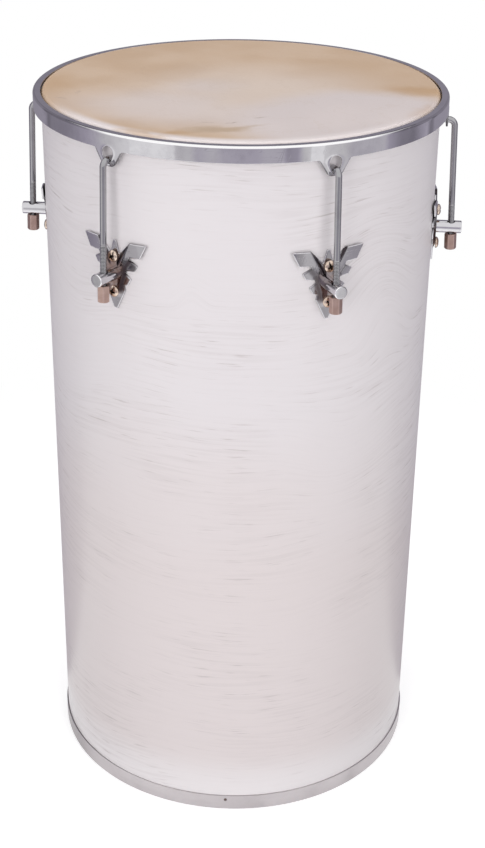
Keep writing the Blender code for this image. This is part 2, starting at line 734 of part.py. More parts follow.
def add_lug(number, angle, parts, meshes, materials):
    """One tensioning station, modelled at the front and turned to its place by its empty."""
    station = bpy.data.objects.new(f"lug_station_{number}", None)
    parts.objects.link(station)
    station.rotation_euler.z = angle

    def add(name, kind, material, place):
        item = new_object(name, meshes[kind], parts, materials[material])
        item.parent = station
        item.matrix_basis = place

    post_place = Matrix.Translation((0.0, 0.0, LUG_HEIGHT))
    add(f"lug_plate_{number}", "plate", "chrome_plate", Matrix())
    add(f"lug_post_{number}", "post", "chrome_post", post_place)
    along_radius = Matrix.Rotation(math.pi / 2, 4, "X")
    for side, up, turn in zip(("upper", "lower"), (0.5, -0.5), SCREW_TURNS[number - 1]):
        z = LUG_HEIGHT + up * SCREW_SPACING
        outside = Matrix.Translation((0.0, -SCREW_SEAT, z)) @ along_radius
        inside = Matrix.Translation((0.0, -SCREW_NUT_SEAT, z)) @ along_radius
        spin = Matrix.Rotation(math.radians(turn), 4, "Z")
        add(f"lug_screw_{number}_{side}", "screw", "screw", outside @ spin)
        add(f"screw_nut_{number}_{side}", "screw_nut", "zinc", inside @ spin)
    rod_place = Matrix.Translation((0.0, -ROD_AT_POST, LUG_HEIGHT))
    lean = Matrix.Rotation(-ROD_LEAN, 4, "X")
    drop = Matrix.Translation((0.0, 0.0, -NUT_DROP))
    spin = Matrix.Rotation(math.radians(NUT_TURNS[number - 1]), 4, "Z")
    add(f"tension_rod_{number}", "rod", "chrome_rod", rod_place)
    add(f"tension_nut_{number}", "nut", "tension_nut", rod_place @ lean @ drop @ spin)


def make_materials():
    return {
        "plywood": new_material("plywood", (0.62, 0.45, 0.28), 0.6, 0.0),
        "laminate": new_material("laminate", (0.76, 0.70, 0.71), 0.45, 0.0),
        "rim_metal": new_material("rim_metal", (0.55, 0.52, 0.54), 0.35, 1.0),
        "hide": new_material("hide", (0.68, 0.52, 0.36), 0.55, 0.0),
        "steel_wire": new_material("steel_wire", (0.45, 0.45, 0.46), 0.4, 1.0),
        "chrome_hoop": new_material("chrome_hoop", (0.70, 0.69, 0.73), 0.12, 1.0),
        "chrome_rod": new_material("chrome_rod", (0.68, 0.67, 0.70), 0.15, 1.0),
        "chrome_post": new_material("chrome_post", (0.70, 0.70, 0.73), 0.15, 1.0),
        "chrome_plate": new_material("chrome_plate", (0.62, 0.61, 0.64), 0.2, 1.0),
        "screw": new_material("screw", (0.72, 0.50, 0.34), 0.25, 1.0),
        "zinc": new_material("zinc", (0.60, 0.60, 0.58), 0.4, 1.0),
        "tension_nut": new_material("tension_nut", (0.45, 0.29, 0.22), 0.4, 1.0),
        "nail": new_material("nail", (0.30, 0.28, 0.28), 0.45, 1.0),
    }


def build():
    clear_scene()
    parts = new_collection("tantan")
    cutters = new_collection("cutters")
    materials = make_materials()
    screw_drill = make_screw_drill(cutters)
    nail_drill = make_nail_drill(cutters)
    make_shell(parts, materials["plywood"], [screw_drill, nail_drill])
    make_laminate(parts, cutters, materials["laminate"], [screw_drill, nail_drill])
    make_base_rim(parts, materials["rim_metal"], [nail_drill])
    make_rim_nails(parts, materials["nail"])
    make_head_skin(parts, materials["hide"])
    make_flesh_hoop(parts, materials["steel_wire"])
    make_counter_hoop(parts, cutters, materials["chrome_hoop"])
    meshes = {
        "plate": make_plate_mesh(cutters),
        "post": make_post_mesh(cutters),
        "screw": make_screw_mesh(cutters),
        "screw_nut": make_screw_nut_mesh(cutters),
        "nut": make_tension_nut_mesh(cutters),
        "rod": make_rod_mesh(cutters),
    }
    for number, angle in enumerate(lug_angles(), 1):
        add_lug(number, angle, parts, meshes, materials)


build()
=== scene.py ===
import math

import bmesh
import bpy
import numpy as np
from mathutils import Matrix, Vector


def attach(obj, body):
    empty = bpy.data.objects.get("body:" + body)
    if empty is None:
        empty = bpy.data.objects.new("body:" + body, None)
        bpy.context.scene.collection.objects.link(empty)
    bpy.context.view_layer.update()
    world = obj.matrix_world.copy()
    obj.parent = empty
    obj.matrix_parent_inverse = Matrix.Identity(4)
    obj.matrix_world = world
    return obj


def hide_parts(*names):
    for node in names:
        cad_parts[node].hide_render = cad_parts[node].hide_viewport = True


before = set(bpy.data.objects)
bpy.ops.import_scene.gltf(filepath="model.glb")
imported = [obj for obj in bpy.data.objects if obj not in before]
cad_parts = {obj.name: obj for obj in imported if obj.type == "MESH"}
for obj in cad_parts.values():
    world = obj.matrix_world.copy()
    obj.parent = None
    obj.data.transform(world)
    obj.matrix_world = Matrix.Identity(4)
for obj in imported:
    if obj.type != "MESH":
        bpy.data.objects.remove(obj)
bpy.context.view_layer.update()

# The shell is a tube of bent plywood, glued at one long scarf joint and sanded inside. Its top edge
# is rounded outwards, and the hide bears on it.
SHELL_OUTER = 0.1537
SHELL_INNER = 0.1477
SHELL_BOTTOM = 0.0013
SHELL_TOP = 0.5847
BEARING_ROUND = 0.003
ROUND_STEPS = 240
WOOD_LIGHT = (0.62, 0.43, 0.26, 1)
WOOD_DARK = (0.42, 0.25, 0.13, 1)


def sheet(points, uv):
    """A sheet of quads. Vertex (i, j) is points[i, j], and each quad joins it to (i+1, j+1)."""
    rows, columns = points.shape[:2]
    first = (np.arange(rows - 1)[:, None] * columns + np.arange(columns - 1)).ravel()
    quads = np.stack([first, first + 1, first + columns + 1, first + columns], axis=1)
    return points.reshape(-1, 3), quads, np.broadcast_to(uv, points.shape[:2] + (2,)).reshape(-1, 2)


def arc(centre, radius, start, end, count):
    """Points on a circle: centre + radius (cos t, sin t), for t from start to end in degrees."""
    t = np.radians(np.linspace(start, end, count))
    return np.stack([centre[0] + radius * np.cos(t), centre[1] + radius * np.sin(t)], axis=1)


def path_length(path):
    """The distance along a path at each of its points, from its first."""
    steps = np.linalg.norm(np.diff(path, axis=0), axis=1)
    return np.concatenate([[0.0], np.cumsum(steps)])


def on_drum(angle, radius, height):
    """The point at an angle round from the front, a radius and a height: (r sin a, -r cos a, z)."""
    return np.stack(np.broadcast_arrays(radius * np.sin(angle), -radius * np.cos(angle), height), -1)


def turned(section, start=-math.pi, end=math.pi, steps=ROUND_STEPS):
    """A section of (radius, height) points carried round the drum's axis, as on_drum places them.
    Its uv is the way round at the drum's radius and the way along the section, both in metres."""
    section = np.asarray(section, float)
    angle = np.linspace(start, end, steps + 1)
    points = on_drum(angle, section[:, :1], section[:, 1:])
    uv = np.stack(np.broadcast_arrays(0.155 * angle, path_length(section)[:, None]), -1)
    return sheet(points, uv)


def joined(sheets, name):
    """One mesh of several sheets, with their uv."""
    starts = np.cumsum([0] + [len(points) for points, faces, uv in sheets])
    mesh = bpy.data.meshes.new(name)
    faces = [face for (points, quads, uv), start in zip(sheets, starts) for face in (quads + start).tolist()]
    mesh.from_pydata(np.concatenate([s[0] for s in sheets]), [], faces)
    corners = np.empty(len(mesh.loops), np.int32)
    mesh.loops.foreach_get("vertex_index", corners)
    uv = np.concatenate([s[2] for s in sheets])[corners]
    mesh.uv_layers.new(name="UVMap").data.foreach_set("uv", uv.astype(np.float32).ravel())
    return mesh


def new_piece(name, sheets, material, body, replaced, sharp=35, edge=None):
    """One object made of several sheets, welded where they meet, with its faces turned outwards.
    edge is a value for each vertex, for a finish that changes there."""
    mesh = joined(sheets, name)
    if edge is not None:
        values = mesh.attributes.new("edge", "FLOAT", "POINT")
        values.data.foreach_set("value", np.asarray(edge, np.float32).ravel())
    work = bmesh.new()
    work.from_mesh(mesh)
    bmesh.ops.remove_doubles(work, verts=work.verts, dist=0.000004)
    bmesh.ops.recalc_face_normals(work, faces=work.faces)
    work.to_mesh(mesh)
    work.free()
    return finished_piece(mesh, material, body, replaced, sharp)


def finished_piece(mesh, material, body, replaced, sharp=35):
    """The object of a mesh: smooth up to the sharp angle in degrees, and fixed to its CAD body."""
    mesh.shade_smooth()
    mesh.set_sharp_from_angle(angle=math.radians(sharp))
    mesh.materials.append(material)
    piece = bpy.data.objects.new(mesh.name, mesh)
    bpy.context.scene.collection.objects.link(piece)
    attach(piece, body)
    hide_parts(*replaced)
    return piece


def new_material(name, **values):
    """A Principled material. Each value is the plain setting of the socket of that name."""
    material = bpy.data.materials.new(name)
    material.use_nodes = True
    shader = material.node_tree.nodes["Principled BSDF"]
    for socket, value in values.items():
        shader.inputs[socket.replace("_", " ")].default_value = value
    return material, material.node_tree, shader


def node(tree, kind, inputs=None, **settings):
    """A shader node. inputs maps its sockets' names or numbers to plain values or other sockets."""
    made = tree.nodes.new(kind)
    for name, value in settings.items():
        setattr(made, name, value)
    for socket, value in (inputs or {}).items():
        if isinstance(value, bpy.types.NodeSocket):
            tree.links.new(value, made.inputs[socket])
        else:
            made.inputs[socket].default_value = value
    return made


def noise(tree, vector, scale, detail=2.0, roughness=0.5, stretch=(1, 1, 1), distortion=0.0):
    """Noise from 0 to 1 of a vector in metres, scale cells to a metre, drawn out by stretch."""
    placed = node(tree, "ShaderNodeMapping", {"Vector": vector, "Scale": stretch})
    sockets = {"Vector": placed.outputs[0], "Scale": scale, "Detail": detail,
               "Roughness": roughness, "Distortion": distortion}
    return node(tree, "ShaderNodeTexNoise", sockets).outputs[0]


def calc(tree, operation, a, b=0.0, clamp=False):
    """One Math node."""
    return node(tree, "ShaderNodeMath", {0: a, 1: b}, operation=operation, use_clamp=clamp).outputs[0]


def between(tree, value, low, high, to_low=0.0, to_high=1.0):
    """A value's smooth rise from to_low to to_high, as it goes from low to high."""
    sockets = {"Value": value, "From Min": low, "From Max": high, "To Min": to_low, "To Max": to_high}
    return node(tree, "ShaderNodeMapRange", sockets, interpolation_type="SMOOTHSTEP").outputs[0]


def mixed(tree, share, a, b):
    """Colour a, turned into colour b by share."""
    return node(tree, "ShaderNodeMix", {0: share, 6: a, 7: b}, data_type="RGBA").outputs[2]


def bumped(tree, shader, height, distance, strength=1.0):
    """Relief on the shader: a height of 1 stands up by distance, in metres."""
    bump = node(tree, "ShaderNodeBump", {"Height": height, "Distance": distance, "Strength": strength})
    tree.links.new(bump.outputs[0], shader.inputs["Normal"])


def new_group(name, inputs, outputs):
    """A shader node group, with its input and output nodes. Sockets are {name: kind}."""
    group = bpy.data.node_groups.new(name, "ShaderNodeTree")
    for socket, kind in inputs.items():
        group.interface.new_socket(socket, in_out="INPUT", socket_type="NodeSocket" + kind)
    for socket, kind in outputs.items():
        group.interface.new_socket(socket, in_out="OUTPUT", socket_type="NodeSocket" + kind)
    return group, group.nodes.new("NodeGroupInput").outputs, group.nodes.new("NodeGroupOutput").inputs


def with_group(tree, group, values):
    """The outputs of a group placed in a material, with these values or links on its inputs."""
    made = tree.nodes.new("ShaderNodeGroup")
    made.node_tree = group
    for socket, value in values.items():
        if isinstance(value, bpy.types.NodeSocket):
            tree.links.new(value, made.inputs[socket])
        else:
            made.inputs[socket].default_value = value
    return made.outputs


def wood_grain():
    """Grain from a vector in metres that runs along it in x. The vector wanders sideways by slow noise.
    Lines is noise drawn out 40 times along it, and Pores the tips of noise drawn out 16 times."""
    group, given, out = new_group(
        "wood grain",
        {"Vector": "Vector", "Wander": "Float", "Line Scale": "Float", "Pore Scale": "Float"},
        {"Lines": "Float", "Pores": "Float"},
    )
    slow = noise(group, given["Vector"], 5.0, 2.0, 0.5, (0.7, 1.5, 1.0))
    drift = calc(group, "MULTIPLY", calc(group, "SUBTRACT", slow, 0.5), given["Wander"])
    offset = node(group, "ShaderNodeCombineXYZ", {"Y": drift}).outputs[0]
    moved = node(group, "ShaderNodeVectorMath", {0: given["Vector"], 1: offset}, operation="ADD").outputs[0]
    for name, scale, stretch, low, high in (
        ("Lines", "Line Scale", (0.04, 1.0, 1.0), 0.42, 0.66),
        ("Pores", "Pore Scale", (0.06, 1.0, 1.0), 0.60, 0.74),
    ):
        drawn = node(group, "ShaderNodeMapping", {"Vector": moved, "Scale": stretch}).outputs[0]
        value = node(group, "ShaderNodeTexNoise", {"Vector": drawn, "Scale": given[scale], "Detail": 2.0}).outputs[0]
        group.links.new(between(group, value, low, high), out[name])
    return group


WOOD_GRAIN = wood_grain()


def plywood_material():
    """Bare birch: tan, with darker lines round the tube, fine pores and slow changes of tone."""
    material, tree, shader = new_material("bare plywood", Roughness=0.62)
    uv = node(tree, "ShaderNodeTexCoord").outputs["UV"]
    grain = with_group(tree, WOOD_GRAIN, {"Vector": uv, "Wander": 0.05, "Line Scale": 240.0, "Pore Scale": 900.0})
    colour = mixed(tree, calc(tree, "MULTIPLY", grain["Lines"], 0.55), WOOD_LIGHT, WOOD_DARK)
    colour = mixed(tree, calc(tree, "MULTIPLY", grain["Pores"], 0.5), colour, WOOD_DARK)
    slow = noise(tree, uv, 9.0, 3.0)
    colour = mixed(tree, between(tree, slow, 0.35, 0.75, 0.0, 0.35), colour, (0.72, 0.55, 0.38, 1))
    tree.links.new(colour, shader.inputs["Base Color"])
    bumped(tree, shader, calc(tree, "ADD", grain["Lines"], grain["Pores"]), 0.00012)
    return material


shell_edge = arc((SHELL_OUTER - BEARING_ROUND, SHELL_TOP - BEARING_ROUND), BEARING_ROUND, 0, 90, 9)
shell_section = np.concatenate([
    [(SHELL_OUTER, SHELL_BOTTOM), (SHELL_OUTER, 0.3)], shell_edge,
    [(SHELL_INNER + 0.0015, SHELL_TOP), (SHELL_INNER, SHELL_TOP - 0.0015), (SHELL_INNER, 0.45),
     (SHELL_INNER, 0.3), (SHELL_INNER, 0.15), (SHELL_INNER, SHELL_BOTTOM), (SHELL_OUTER, SHELL_BOTTOM)],
])
new_piece("shell_tube", [turned(shell_section)], plywood_material(), "drum_body", ["shell"])

# The laminate is a white sheet, pressed with the grain of wood, glued round the shell with its grain
# lying round the drum. Its two ends meet in a butt seam at the back.
LAMINATE_OUTER = 0.1549
LAMINATE_INNER = 0.1541
LAMINATE_BOTTOM = 0.0013
LAMINATE_TOP = 0.5745
SEAM_HALF_ANGLE = 0.0012
LAMINATE_WHITE = (0.765, 0.725, 0.740, 1)
LAMINATE_FOOT = (0.735, 0.670, 0.668, 1)
LAMINATE_BOUNCE_LIGHT = (0.86, 0.82, 0.825, 1)
LAMINATE_SHADE = (0.53, 0.475, 0.475, 1)
GRAIN_SWELLS = (
    ((0.135, 0.46), (0.05, 0.08), 0.3, -0.030),
    ((0.105, 0.33), (0.07, 0.06), 0.5, 0.016),
    ((-0.02, 0.475), (0.02, 0.028), 0.0, -0.010),
    ((-0.135, 0.42), (0.06, 0.14), -0.2, 0.014),
)


def spot():
    """A soft oval mark: 1 at its centre, 0 at its edge. The vector is moved, turned and divided by
    the oval's half sizes, and the mark falls with its length."""
    group, given, out = new_group(
        "oval mark", {"Vector": "Vector", "Centre": "Vector", "Turn": "Vector", "Half Size": "Vector",
                      "Core": "Float"}, {"Mark": "Float"})
    local = node(group, "ShaderNodeMapping", {"Vector": given["Vector"], "Location": given["Centre"],
                                              "Rotation": given["Turn"], "Scale": given["Half Size"]},
                 vector_type="TEXTURE").outputs[0]
    reach = node(group, "ShaderNodeVectorMath", {0: local}, operation="LENGTH").outputs["Value"]
    rise = node(group, "ShaderNodeMapRange", {"Value": reach, "From Min": 1.0, "From Max": given["Core"]},
                interpolation_type="SMOOTHSTEP").outputs[0]
    group.links.new(rise, out["Mark"])
    return group


OVAL_MARK = spot()


def laminate_material():
    """White, warmer towards the foot, lightened along its lowest few centimetres by painted bounce light from the
    paper, with pressed grain: faint lines, and short pores in patches.
    """
    material, tree, shader = new_material("white laminate", Roughness=0.4, Specular_IOR_Level=0.4)
    coordinates = node(tree, "ShaderNodeTexCoord").outputs
    uv = coordinates["UV"]
    lifted = 0.0
    for place, half_size, turn, rise in GRAIN_SWELLS:
        swell = with_group(tree, OVAL_MARK, {"Vector": uv, "Centre": (*place, 0.0), "Turn": (0, 0, turn),
                                             "Half Size": (*half_size, 1.0), "Core": 0.0})["Mark"]
        lifted = calc(tree, "ADD", lifted, calc(tree, "MULTIPLY", swell, rise))
    offset = node(tree, "ShaderNodeCombineXYZ", {"Y": lifted}).outputs[0]
    along = node(tree, "ShaderNodeVectorMath", {0: uv, 1: offset}, operation="ADD").outputs[0]
    grain = with_group(tree, WOOD_GRAIN, {"Vector": along, "Wander": 0.045, "Line Scale": 330.0, "Pore Scale": 560.0})
    patches = between(tree, noise(tree, uv, 11.0, 2.0, 0.5, (0.7, 1.0, 1.0)), 0.40, 0.60, 0.14, 1.0)
    pores = calc(tree, "MULTIPLY", grain["Pores"], patches)
    lines = calc(tree, "MULTIPLY", grain["Lines"], patches)
    dark = calc(tree, "ADD", calc(tree, "MULTIPLY", pores, 0.66), calc(tree, "MULTIPLY", lines, 0.17))
    height = node(tree, "ShaderNodeSeparateXYZ", {0: coordinates["Object"]}).outputs[2]
    slow = calc(tree, "MULTIPLY", calc(tree, "SUBTRACT", noise(tree, coordinates["Object"], 4.0), 0.5), 0.25)
    foot = between(tree, calc(tree, "ADD", height, slow), 0.20, 0.38, 1.0, 0.0)
    foot = calc(tree, "MULTIPLY", foot, between(tree, height, 0.015, 0.055))
    white = mixed(tree, foot, LAMINATE_WHITE, LAMINATE_FOOT)
    # Painted light: the lowest few centimetres are lightened, as if lit by light bounced from the paper.
    white = mixed(tree, between(tree, height, 0.014, 0.065, 0.7, 0.0), white, LAMINATE_BOUNCE_LIGHT)
    tree.links.new(mixed(tree, dark, white, LAMINATE_SHADE), shader.inputs["Base Color"])
    gloss = between(tree, noise(tree, uv, 7.0), 0.3, 0.7, 0.28, 0.32)
    tree.links.new(calc(tree, "ADD", gloss, calc(tree, "MULTIPLY", dark, 0.2)), shader.inputs["Roughness"])
    relief = calc(tree, "SUBTRACT", 1.0, calc(tree, "ADD", pores, calc(tree, "MULTIPLY", lines, 0.4)))
    bumped(tree, shader, relief, 0.00012)
    return material


laminate_section = [(LAMINATE_INNER, LAMINATE_BOTTOM), (LAMINATE_OUTER, LAMINATE_BOTTOM),
                    *[(LAMINATE_OUTER, z) for z in np.linspace(0.1, 0.5, 5)],
                    (LAMINATE_OUTER, LAMINATE_TOP), (LAMINATE_INNER, LAMINATE_TOP),
                    (LAMINATE_INNER, LAMINATE_BOTTOM)]
laminate_turn = turned(laminate_section, -math.pi + SEAM_HALF_ANGLE, math.pi - SEAM_HALF_ANGLE)
new_piece("laminate_sheet", [laminate_turn], laminate_material(), "drum_body", ["laminate"])

# The base rim is a strip of thin sheet metal, folded under the shell's edge and nailed on. Its edges
# are slightly rolled, and it has a satin finish with fine lines from rolling.
RIM_OUTER = 0.1561
RIM_INNER = 0.1551
RIM_HEIGHT = 0.0138
RIM_EDGE = 0.0004
RIM_METAL = (0.52, 0.485, 0.495, 1)
RIM_DULL = (0.34, 0.31, 0.32, 1)
RIM_DARK = (0.24, 0.215, 0.225, 1)


def metal_wear():
    """Marks on bare metal, from a vector in metres. Smudge is soft blotches of handling, and
    Scratches are thin lines: the narrow band where drawn-out noise crosses its middle value."""
    group, given, out = new_group(
        "metal wear", {"Vector": "Vector", "Scale": "Float"}, {"Smudge": "Float", "Scratches": "Float"}
    )
    vector = node(group, "ShaderNodeVectorMath", {0: given["Vector"], 3: given["Scale"]}, operation="SCALE").outputs[0]
    group.links.new(between(group, noise(group, vector, 32.0, 5.0, 0.6), 0.42, 0.72), out["Smudge"])
    lines = []
    for turn, stretch in ((0.5, (0.05, 1.0, 0.05)), (2.2, (1.0, 0.06, 0.06))):
        turned_vector = node(group, "ShaderNodeMapping", {"Vector": vector, "Rotation": (turn, turn * 0.7, turn)})
        drawn = noise(group, turned_vector.outputs[0], 160.0, 2.0, 0.5, stretch)
        off_middle = calc(group, "ABSOLUTE", calc(group, "SUBTRACT", drawn, 0.5))
        lines.append(between(group, off_middle, 0.0, 0.012, 1.0, 0.0))
    patch = between(group, noise(group, vector, 70.0, 1.0), 0.5, 0.62)
    group.links.new(calc(group, "MULTIPLY", calc(group, "MAXIMUM", *lines), patch), out["Scratches"])
    return group


METAL_WEAR = metal_wear()


def rim_material():
    """Satin sheet metal: lines of rolling along the strip, dull blotches, a few scratches and one darker patch."""
    material, tree, shader = new_material("satin sheet metal", Metallic=1.0)
    coordinates = node(tree, "ShaderNodeTexCoord").outputs
    wear = with_group(tree, METAL_WEAR, {"Vector": coordinates["Object"], "Scale": 1.0})
    rolling = noise(tree, coordinates["UV"], 2500.0, 3.0, 0.6, (0.006, 1.0, 1.0))
    slow = noise(tree, coordinates["Object"], 14.0, 2.0)
    dull = calc(tree, "ADD", calc(tree, "MULTIPLY", wear["Smudge"], 0.35), between(tree, slow, 0.35, 0.7, 0.0, 0.35))
    colour = mixed(tree, dull, RIM_METAL, RIM_DULL)
    # A darker patch on the strip towards the front left.
    dark_patch = with_group(tree, OVAL_MARK, {"Vector": coordinates["UV"], "Centre": (-0.170, 0.0, 0.0),
                                          "Half Size": (0.065, 0.2, 1.0), "Core": 0.2})["Mark"]
    colour = mixed(tree, calc(tree, "MULTIPLY", dark_patch, 0.75), colour, RIM_DARK)
    colour = mixed(tree, calc(tree, "MULTIPLY", rolling, 0.25), colour, (0.72, 0.69, 0.70, 1))
    tree.links.new(colour, shader.inputs["Base Color"])
    tree.links.new(between(tree, rolling, 0.3, 0.7, 0.30, 0.44), shader.inputs["Roughness"])
    bumped(tree, shader, calc(tree, "SUBTRACT", rolling, wear["Scratches"]), 0.00003)
    return material


rim_section = np.concatenate([
    [(SHELL_INNER, 0.001), (SHELL_INNER, 0.0)],
    arc((RIM_OUTER - RIM_EDGE, RIM_EDGE), RIM_EDGE, -90, 0, 5),
    arc((RIM_OUTER - RIM_EDGE, RIM_HEIGHT - RIM_EDGE), RIM_EDGE, 0, 90, 5),
    [(RIM_INNER, RIM_HEIGHT), (RIM_INNER, 0.001), (SHELL_INNER, 0.001)],
])
new_piece("base_rim_strip", [turned(rim_section)], rim_material(), "drum_body", ["base_rim"])

# Three small steel nails hold the rim. Each has a round head, darkened by age.
NAIL_ANGLE = math.radians(3.4)
NAIL_HEIGHT = 0.0098
NAIL_HEAD_RADIUS = 0.0014
NAIL_HEAD_HEIGHT = 0.0006


def nail_material():
    """Dark steel, with a little brown rust in patches."""
    material, tree, shader = new_material("old nail steel", Metallic=0.9, Roughness=0.45)
    where = node(tree, "ShaderNodeTexCoord").outputs["Object"]
    rust = between(tree, noise(tree, where, 1400.0, 3.0), 0.42, 0.62)
    tree.links.new(mixed(tree, rust, (0.17, 0.16, 0.17, 1), (0.16, 0.085, 0.05, 1)), shader.inputs["Base Color"])
    tree.links.new(between(tree, rust, 0.0, 1.0, 0.35, 0.7), shader.inputs["Roughness"])
    bumped(tree, shader, rust, 0.00005)
    return material


def lathe(section, steps):
    """A section of (radius, height) points turned about Z, before it is placed on the drum."""
    section = np.asarray(section, float)
    turn = np.linspace(0, 2 * math.pi, steps + 1)
    radius, height = section[:, :1], section[:, 1:]
    points = np.stack(np.broadcast_arrays(radius * np.cos(turn), radius * np.sin(turn), height), -1)
    uv = np.stack(np.broadcast_arrays(turn * np.abs(section[:, 0]).max(), path_length(section)[:, None]), -1)
    return sheet(points, uv)


def moved(sheets, place):
    """Sheets carried by a 4 x 4 matrix: each point p becomes R p + t."""
    m = np.array(place)
    return [(points @ m[:3, :3].T + m[:3, 3], faces, uv) for points, faces, uv in sheets]


def out_of_drum(angle, radius, height):
    """The matrix that lays Z along the radius, outwards, at an angle round from the front."""
    spin = Matrix.Rotation(angle, 4, "Z") @ Matrix.Translation((0.0, -radius, height))
    return spin @ Matrix.Rotation(math.pi / 2, 4, "X")


nail_dome = arc((0.0, 0.0), 1.0, 90, 0, 9) * (NAIL_HEAD_RADIUS, NAIL_HEAD_HEIGHT)
nail_section = np.concatenate([nail_dome, [(0.0006, 0.0), (0.0006, -0.0055), (0.0, -0.0055)]])
nail_finish = nail_material()
for number in range(3):
    place = out_of_drum(NAIL_ANGLE + number * 2 * math.pi / 3, RIM_OUTER, NAIL_HEIGHT)
    node_name = f"rim_nail_{number + 1}"
    new_piece(f"nail_{number + 1}", moved([lathe(nail_section, 24)], place), nail_finish,
              "drum_body", [node_name])

# The head is a natural hide, soaked, wrapped round a steel ring and dried taut over the shell's edge.
# It keeps the animal's clouds: amber where it is thick, pale where it was scraped thin.
HEAD_TOP = 0.5857
HIDE_THICKNESS = 0.0007
RING_RADIUS = 0.1568
RING_HEIGHT = 0.5801
WRAP_RADIUS = 0.0028
HIDE_AMBER = (0.575, 0.410, 0.275, 1)
HIDE_TAN = (0.675, 0.560, 0.480, 1)
HIDE_PALE = (0.665, 0.590, 0.575, 1)
HIDE_BROWN = (0.48, 0.36, 0.255, 1)
HIDE_EDGE_HIGHLIGHT = (0.75, 0.68, 0.67, 1)
HIDE_GOLD = (0.50, 0.325, 0.185, 1)
HIDE_DARK = (0.34, 0.27, 0.23, 1)
HIDE_MARKS = (
    (False, (0.015, -0.030), (0.150, 0.125), 0.1, 0.2, 1.0, HIDE_TAN),
    (False, (-0.050, -0.075), (0.105, 0.070), -0.3, 0.2, 0.7, HIDE_PALE),
    (False, (-0.032, -0.008), (0.040, 0.030), 0.0, 0.0, 0.5, HIDE_PALE),
    (False, (0.095, -0.085), (0.115, 0.095), 0.35, 0.6, 1.0, HIDE_PALE),
    (True, (0.140, 0.004), (0.040, 0.022), -0.1, 0.2, 0.8, HIDE_GOLD),
    (True, (-0.145, -0.012), (0.030, 0.050), 0.2, 0.0, 0.6, HIDE_GOLD),
    (True, (-0.036, -0.137), (0.030, 0.008), 0.22, 0.0, 0.75, HIDE_GOLD),
    (True, (-0.006, -0.124), (0.030, 0.012), 0.25, 0.3, 0.85, HIDE_BROWN),
    (True, (0.016, -0.114), (0.024, 0.006), 0.45, 0.0, 0.5, HIDE_BROWN),
    (True, (0.023, -0.089), (0.009, 0.0014), 0.9, 0.0, 0.6, HIDE_DARK),
    (True, (0.004, -0.103), (0.010, 0.0014), 0.4, 0.0, 0.6, HIDE_DARK),
    (True, (-0.014, -0.108), (0.007, 0.0012), 0.2, 0.0, 0.5, HIDE_DARK),
    (True, (-0.131, -0.058), (0.010, 0.003), -0.3, 0.0, 0.35, HIDE_DARK),
    (True, (-0.122, -0.040), (0.003, 0.009), 0.2, 0.0, 0.3, HIDE_DARK),
    (True, (0.141, -0.052), (0.011, 0.036), -0.35, 0.0, 0.35, HIDE_GOLD),
)


def hide_material():
    """Amber hide with paler scraped clouds, one brown patch by the front edge, faint veins and pores, and a painted
    highlight along the front of its edge.
    """
    material, tree, shader = new_material("natural hide", Specular_IOR_Level=0.35,
                                          Subsurface_Weight=0.0, Sheen_Weight=0.0)
    where = node(tree, "ShaderNodeTexCoord").outputs["Object"]

    def wandering(scale, reach):
        """The place, moved about by noise by up to half the reach."""
        warp = node(tree, "ShaderNodeTexNoise", {"Vector": where, "Scale": scale, "Detail": 3.0}).outputs["Color"]
        centred = node(tree, "ShaderNodeVectorMath", {0: warp, 1: (0.5, 0.5, 0.5)}, operation="SUBTRACT").outputs[0]
        drift = node(tree, "ShaderNodeVectorMath", {0: centred, 1: (reach, reach, 0)}, operation="MULTIPLY").outputs[0]
        return node(tree, "ShaderNodeVectorMath", {0: where, 1: drift}, operation="ADD").outputs[0]

    vector, ragged = wandering(11.0, 0.05), wandering(60.0, 0.018)
    clouds = between(tree, noise(tree, where, 16.0, 4.0, 0.55), 0.35, 0.68)
    colour = mixed(tree, calc(tree, "MULTIPLY", clouds, 0.28), HIDE_AMBER, HIDE_TAN)
    for fine, centre, half_size, turn, core, share, shade in HIDE_MARKS:
        mark = with_group(tree, OVAL_MARK, {
            "Vector": ragged if fine else vector, "Centre": (*centre, HEAD_TOP), "Turn": (0, 0, turn),
            "Half Size": (*half_size, 1.0), "Core": core})["Mark"]
        colour = mixed(tree, calc(tree, "MULTIPLY", mark, share), colour, shade)
    veins = calc(tree, "ABSOLUTE", calc(tree, "SUBTRACT", noise(tree, vector, 26.0, 4.0, 0.6), 0.5))
    colour = mixed(tree, between(tree, veins, 0.0, 0.02, 0.09, 0.0), colour, HIDE_BROWN)
    out = node(tree, "ShaderNodeVectorMath", {0: where, 1: (1, 1, 0)}, operation="MULTIPLY").outputs[0]
    out = node(tree, "ShaderNodeVectorMath", {0: out}, operation="LENGTH").outputs["Value"]
    forward = node(tree, "ShaderNodeSeparateXYZ", {0: where}).outputs[1]
    # Painted highlight: a pale band on the front of the head's edge, where its roll catches the light. A dip in it at
    # the front left keeps it fainter there.
    edge_highlight = calc(tree, "MULTIPLY", between(tree, out, 0.142, 0.151), between(tree, forward, -0.060, -0.118))
    highlight_dip = with_group(tree, OVAL_MARK, {"Vector": ragged, "Centre": (-0.057, -0.141, HEAD_TOP), "Turn": (0, 0, -0.39),
                                         "Half Size": (0.030, 0.009, 1.0), "Core": 0.2})["Mark"]
    edge_highlight = calc(tree, "MULTIPLY", edge_highlight, between(tree, highlight_dip, 0.0, 1.0, 1.0, 0.35))
    colour = mixed(tree, edge_highlight, colour, HIDE_EDGE_HIGHLIGHT)
    pores = noise(tree, where, 900.0, 2.0)
    colour = mixed(tree, between(tree, pores, 0.45, 0.75, 0.0, 0.10), colour, HIDE_BROWN)
    tree.links.new(colour, shader.inputs["Base Color"])
    tree.links.new(between(tree, clouds, 0.0, 1.0, 0.42, 0.55), shader.inputs["Roughness"])
    relief = calc(tree, "ADD", calc(tree, "MULTIPLY", pores, 0.2), noise(tree, where, 120.0, 3.0))
    bumped(tree, shader, relief, 0.00012)
    return material


